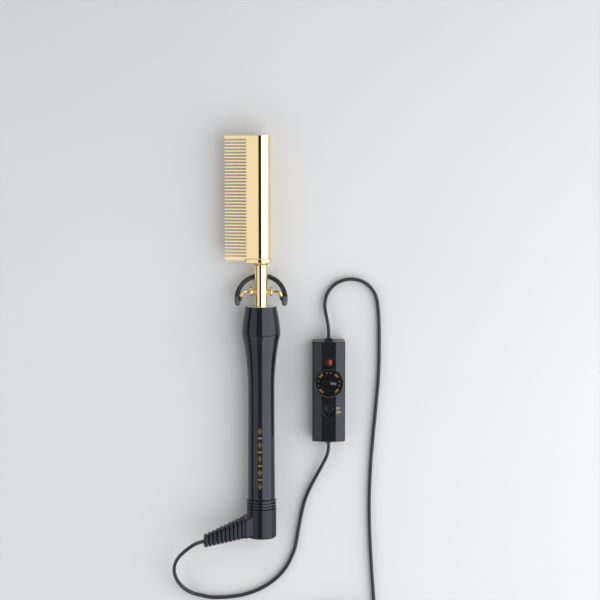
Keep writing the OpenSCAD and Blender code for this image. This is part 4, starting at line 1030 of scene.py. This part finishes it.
pedestal = rounded([(9.4, 14, 0), (11.0, 14, 0), (11.0, DIAL_Z - 0.3, 0.25),
                    (9.4, DIAL_Z - 0.3, 0)])
fit(lathe("dial_pedestal", [*pedestal, pedestal[0]], on_dial), "cord_side", "case_black")


def make_dial():
    """A dished disc with a raised rim and a sunk pocket; the finger bar across it is made apart."""
    rim_in = dial_r - DIAL_RIM
    profile = rounded([(0, DIAL_Z, 0), (dial_r - 0.2, DIAL_Z, 0.2), (dial_r, DIAL_Z + 0.4, 0.3),
                       (dial_r, dial_top - RIM_DROP, 0.1), (rim_in, dial_top, 0.1),
                       (rim_in - 0.5, dial_floor, 0.2), (0, dial_floor, 0)], steps=5)
    dial = lathe("dial_disc", profile, on_dial, 128)
    outline = [(y, x) for x, y in oval(POCKET_H, POCKET_W)]
    cut(dial, prism("pocket", outline, on_knob, dial_floor - 1, dial_floor + 3))
    soften(dial, 0.22, 50, 3, only=near(CASE_X, DIAL_Y, 9,
                                        lambda z: abs(z - dial_floor) < 0.01))
    return shade(dial, 38, weighted=True)


fit(make_dial(), "dial", "dial_black", "temperature_dial")


def tapered_bar(name, place, base, top, heights, round_r, shift=0.0, edge=0.35):
    """A bar with a round-edged top: base and top are (length, width)."""
    rings = []
    for f, inset in ((0, 0), (0.72, 0), (0.88, edge * 0.3), (0.97, edge * 0.75), (1, edge * 1.3)):
        w = base[0] + (top[0] - base[0]) * f - 2 * inset
        h = base[1] + (top[1] - base[1]) * f - 2 * inset
        z = heights[0] + (heights[1] - heights[0]) * f
        rings.append([place(x + shift, y, z) for x, y in rect(w, h, min(round_r, h * 0.45), 5)])
    return loft(name, rings, sharp=40, weighted=True)


bar = tapered_bar("dial_finger_bar", on_knob, (12.4, 3.9), (11.9, 3.0),
                  (dial_floor - 1.1, dial_top + 1.1), 1.0)
fit(bar, "dial", "dial_black")
pointer = tapered_bar("dial_pointer_mark", on_knob, (4.2, 1.9), (4.1, 1.8),
                      (dial_floor, dial_top + 1.17), 0.55, shift=3.15, edge=0.12)
fit(pointer, "dial", "pointer_pale", "dial_pointer")

# ---------- numbers and words ----------


def lettering(name, text, width, height, at, body, slot, turn=0.0, ink="print_gold"):
    """Flat print of the given size; at(x, y) gives the place of a point of it on the surface."""
    curve = bpy.data.curves.new(name, "FONT")
    curve.body = text
    curve.resolution_u = 4
    source = add(name + "_curve", curve)
    mesh = evaluated(source)
    bpy.data.objects.remove(source)
    xs, ys = [v.co.x for v in mesh.vertices], [v.co.y for v in mesh.vertices]
    for vertex in mesh.vertices:
        x = ((vertex.co.x - min(xs)) / (max(xs) - min(xs)) - 0.5) * width
        y = ((vertex.co.y - min(ys)) / (max(ys) - min(ys)) - 0.5) * height
        vertex.co = (at(*turned(x, y, turn)) + Vector((0, 0, PRINT_LIFT))) * MM
    obj = add(name, mesh)
    obj.data.shade_smooth()
    return fit(obj, body, slot, paint=ink)


NUMBER_R, DOT_R = 8.3, 8.1
for value, angle in ((200, 225), (300, 135), (400, 45), (500, 315)):
    a = radians(angle)
    lettering(f"dial_number_{value}", f"{value}°", 3.8, 1.5,
              lambda x, y, a=a: on_dial(NUMBER_R * cos(a) + x, NUMBER_R * sin(a) + y, dial_floor),
              "dial", "dial_black", turn=a - pi / 2)
for k, angle in enumerate((101, 79, 11, -11, 191, 169)):
    a = radians(angle)
    dot = rounded([(0, dial_floor + 0.06, 0), (0.32, dial_floor + 0.06, 0.05),
                   (0.36, dial_floor - 0.05, 0)])
    fit(lathe(f"dial_dot_{k}", dot,
              lambda x, y, z, a=a: on_dial(DOT_R * cos(a) + x, DOT_R * sin(a) + y, z), 20),
        "dial", "dial_black", paint="print_gold")


def on_crown(x0, y0):
    return lambda x, y: on_case(x0 + x, y0 + y, crown_z(x0 + x))


for word, width, x, y in (("ON", 2.6, 7.1, -12.6), ("OFF", 3.9, 7.4, -15.8)):
    lettering(f"switch_word_{word.lower()}", word, width, 1.9, on_crown(x, y), "cord_side",
              "case_black", ink="print_pale")

# ---------- slider and lens ----------

SLIDER_R = 3.5
slider_y = (slider_low.y + slider_high.y) / 2
slider_top = 17.6
slider_profile = rounded([(0, 15.7, 0), (SLIDER_R, 15.7, 0.2), (SLIDER_R, slider_top, 0.3),
                          (SLIDER_R - 0.7, slider_top, 0.2),
                          (SLIDER_R - 1.0, slider_top - 0.3, 0.25), (0, slider_top - 0.3, 0)],
                         steps=5)
on_slider = placed_at(CASE_X, slider_y)
fit(lathe("slider_button", slider_profile, on_slider, 64), "slider", "slider_black",
    "switch_slider")
fit(tapered_bar("slider_stem", on_slider, (3, 3), (3, 3), (8.0, 16.0), 0.4), "slider",
    "slider_black")
tick = rounded([(0, slider_top + 0.03, 0), (0.26, slider_top + 0.03, 0.06),
                (0.3, slider_top - 0.1, 0)])
fit(lathe("slider_tick", tick, lambda x, y, z: on_slider(SLIDER_R - 0.45 + x, y, z), 16),
    "slider", "slider_black", paint="pointer_pale")

lens_y = (lens_low.y + lens_high.y) / 2
lens_w, lens_len = lens_high.x - lens_low.x, lens_high.y - lens_low.y
on_lens = placed_at(CASE_X + LENS_SHIFT, lens_y)


def lens_ring(scale, z):
    w, length = lens_w - 2 * LENS_EDGE, lens_len - LENS_EDGE
    return [on_lens(x * scale, y * scale, z) for x, y in oval(w, length)]


dome = [lens_ring(1, CASE_H - 1.2), lens_ring(1, CASE_H + 0.02)]
dome += [lens_ring(cos(t), CASE_H + 0.02 + 0.55 * sin(t))
         for t in (pi / 2 * k / 8 * 0.97 for k in range(1, 9))]
fit(loft("pilot_lens_dome", dome, sharp=60), "cord_side", "lens_red", "lamp_lens")
bezel = [[Vector((CASE_X + x, lens_y + y, crown_z(x) + rise))
          for x, y in oval(lens_w + 2 * grow, lens_len + 2 * grow)]
         for grow, rise in ((0.02, -0.3), (0.04, 0.10), (0.22, 0.2), (0.5, 0.17), (0.68, 0.02),
                            (0.72, -0.3))]
fit(loft("lens_bezel", bezel, capped=False, sharp=60), "cord_side",
    "case_black", paint="dial_black")

# ---------- glands ----------


def make_gland(name, sign):
    sizes = ((6.3, 6.3, 0.8, -2), (6.3, 6.3, 0.8, 0.02), (6.8, 6.8, 1.2, 0.02),
             (6.8, 6.8, 1.2, 0.7), (6.4, 6.4, 1.1, 0.95), (5.4, 6.0, 1.0, 1.0),
             (5.2, 5.9, 1.0, 1.35), (4.8, 5.6, 0.9, 1.6), (2.9, 4.8, 0.7, 1.6),
             (2.85, 4.75, 0.7, 0.2))
    rings = [[on_case(a, sign * (case_len / 2 + d), SPLIT_H + b) for a, b in rect(w, h, r)]
             for w, h, r, d in sizes]
    return loft(name, rings, sharp=45)


gland_top = fit(make_gland("gland_upper_skin", 1), "cord_side", "case_black", "upper_gland",
                paint="boot_rubber")
gland_bottom = fit(make_gland("gland_lower_skin", -1), "cord_side", "case_black", "lower_gland",
                   paint="boot_rubber")

# ---------- plug and tie ----------

PLUG_W, PLUG_H, RELIEF_LEN, RELIEF_RIBS = 23, 15, 22, 7


def plug_ring(a, b, r, d):
    return [on_plug(x, y, d) for x, y in rect(a, b, r, 6)]


def make_plug():
    """A moulded body that narrows to a ribbed relief, with a grip hollow on each face."""
    rings = [plug_ring(3.0, 4.7, 0.8, -RELIEF_LEN + 6), plug_ring(3.1, 4.8, 0.8, -RELIEF_LEN),
             plug_ring(5.0, 5.6, 1.4, -RELIEF_LEN)]
    step = RELIEF_LEN / RELIEF_RIBS
    for i in reversed(range(RELIEF_RIBS)):
        f = 1 - i / RELIEF_RIBS
        side = CORD_W + 2 + f * 4
        start = -step * (i + 1)
        rings.append(plug_ring(side - 2.4, side - 1.9, 1.4, start + 0.02))
        rings += [plug_ring(side - 2 * e, side - 2 * e, 1.9, d)
                  for d, e in edge_steps(start + 0.05, start + step * 0.7, 0.35, 3)]
        rings.append(plug_ring(side - 2.4, side - 1.9, 1.4, start + step * 0.72))
    grip = ((0, 1.6, 2.2), (0.9, 0.4, 0.6), (3, 0, 0), (7, 0.5, 0.7), (11, 0.9, 1.1),
            (15, 0.5, 0.7), (19, 0, 0), (20.9, 0, 0), (21.7, 0.25, 0.25), (22, 0.8, 0.8))
    for d, drop, side in grip:
        rings.append(plug_ring(PLUG_H - 2 * drop, PLUG_W - 2 * side, 3, d))
    return loft("mains_plug_skin", rings, sharp=42)


plug = fit(make_plug(), "cord_side", "plug_black", "plug_body")
for k, offset in enumerate((-6.35, 6.35)):
    rings = [[on_plug(a, offset + b, d)
              for a, b in rect(6.35 - 2.4 * inset, 1.5 - 1.2 * inset, 0.25)]
             for d, inset in ((16, 0), (37.4, 0), (38.5, 0.25), (39, 0.6))]
    blade = loft(f"plug_blade_{k}", rings, sharp=40)
    hole = lathe("hole", [(0, -3), (1.5, -3), (1.5, 3), (0, 3)],
                 lambda a, b, along, y=offset: on_plug(a, y + along, 35.6 + b), 32)
    cut(blade, hole)
    fit(shade(blade, 40), "cord_side", "blade_metal", "plug_blades")

TIE_W, TIE_T = 4, 1
tie_mid = (tie_low + tie_high) / 2
tie_path = [Vector((0, y, z)) for y, z in rect(
    tie_high.y - tie_low.y - TIE_T, tie_high.z - tie_low.z - TIE_T, 1.6, 6)]


def make_tie():
    rings, across = [], Vector((1, 0, 0))
    for i, p in enumerate(tie_path):
        along = (tie_path[(i + 1) % len(tie_path)] - tie_path[i - 1]).normalized()
        out = across.cross(along)
        rings.append([tie_mid + p + across * a + out * b
                      for a, b in rect(TIE_W, TIE_T * 0.8, 0.3, 3)])
    return loft("coil_tie_strap", rings, loop=True, sharp=50)


tie = fit(make_tie(), "cord_side", "tie_black", "cord_tie")

length_of(short_path) * MM
list(on_case(0, gland_face, SPLIT_H) * MM)
length_of(long_path) * MM

# ---------- studio ----------


BANK_LEN, BANK_Y, BANK_COLOUR = 1.10, -0.15, (0.96, 0.98, 1.0)


def area_light(name, near_x, near_z, far_x, far_z, radiance):
    """A flat light between two places in the XZ plane, facing the part. This part is in metres."""
    across = Vector((far_x - near_x, 0, far_z - near_z))
    light = bpy.data.lights.new(name, "AREA")
    light.shape = "RECTANGLE"
    light.size = across.length
    light.size_y = BANK_LEN
    light.energy = radiance * pi * across.length * BANK_LEN
    light.color = BANK_COLOUR
    obj = add(name, light)
    obj.location = ((near_x + far_x) / 2, BANK_Y, (near_z + far_z) / 2)
    x_axis = across.normalized()
    z_axis = x_axis.cross(Vector((0, 1, 0)))
    if z_axis.dot(obj.location) < 0:
        x_axis, z_axis = -x_axis, -z_axis
    y_axis = z_axis.cross(x_axis)
    obj.rotation_euler = Matrix((x_axis, y_axis, z_axis)).transposed().to_euler()


area_light("right bank", 0.18, 1.26, 1.06, 0.03, 2.4)
area_light("left bank", -0.42, 0.86, -0.93, 0.32, 0.95)

world = bpy.data.worlds.new("studio")
world.use_nodes = True
scene.world = world
tree = world.node_tree
coords = add_node(tree, "TexCoord").outputs["Generated"]
along_y = add_node(tree, "SeparateXYZ", Vector=coords).outputs["Y"]
size = add_node(tree, "Math", Value=along_y)
size.operation = "ABSOLUTE"
sides = mapped(tree, size.outputs["Value"], 0, 1, 0.42, 0.70)
feed(tree, tree.nodes["Background"],
     Color=mixed(tree, sides, (0.03, 0.03, 0.032), (0.85, 0.85, 0.86)))

FLOOR_HALF = 4
floor_mesh = bpy.data.meshes.new("floor")
floor_mesh.from_pydata([(x * FLOOR_HALF, y * FLOOR_HALF, 0) for x, y in
                        ((-1, -1), (1, -1), (1, 1), (-1, 1))], [], [(0, 1, 2, 3)])
floor = add("floor", floor_mesh)
floor.location.z = -0.0001
floor.data.materials.append(finish("pale floor", (0.73, 0.73, 0.73), (0.75, 0.75, 0.75),
                                   (0.75, 0.85), 3, 400, 0.05, 0.05))

scene.view_settings.view_transform = "Standard"
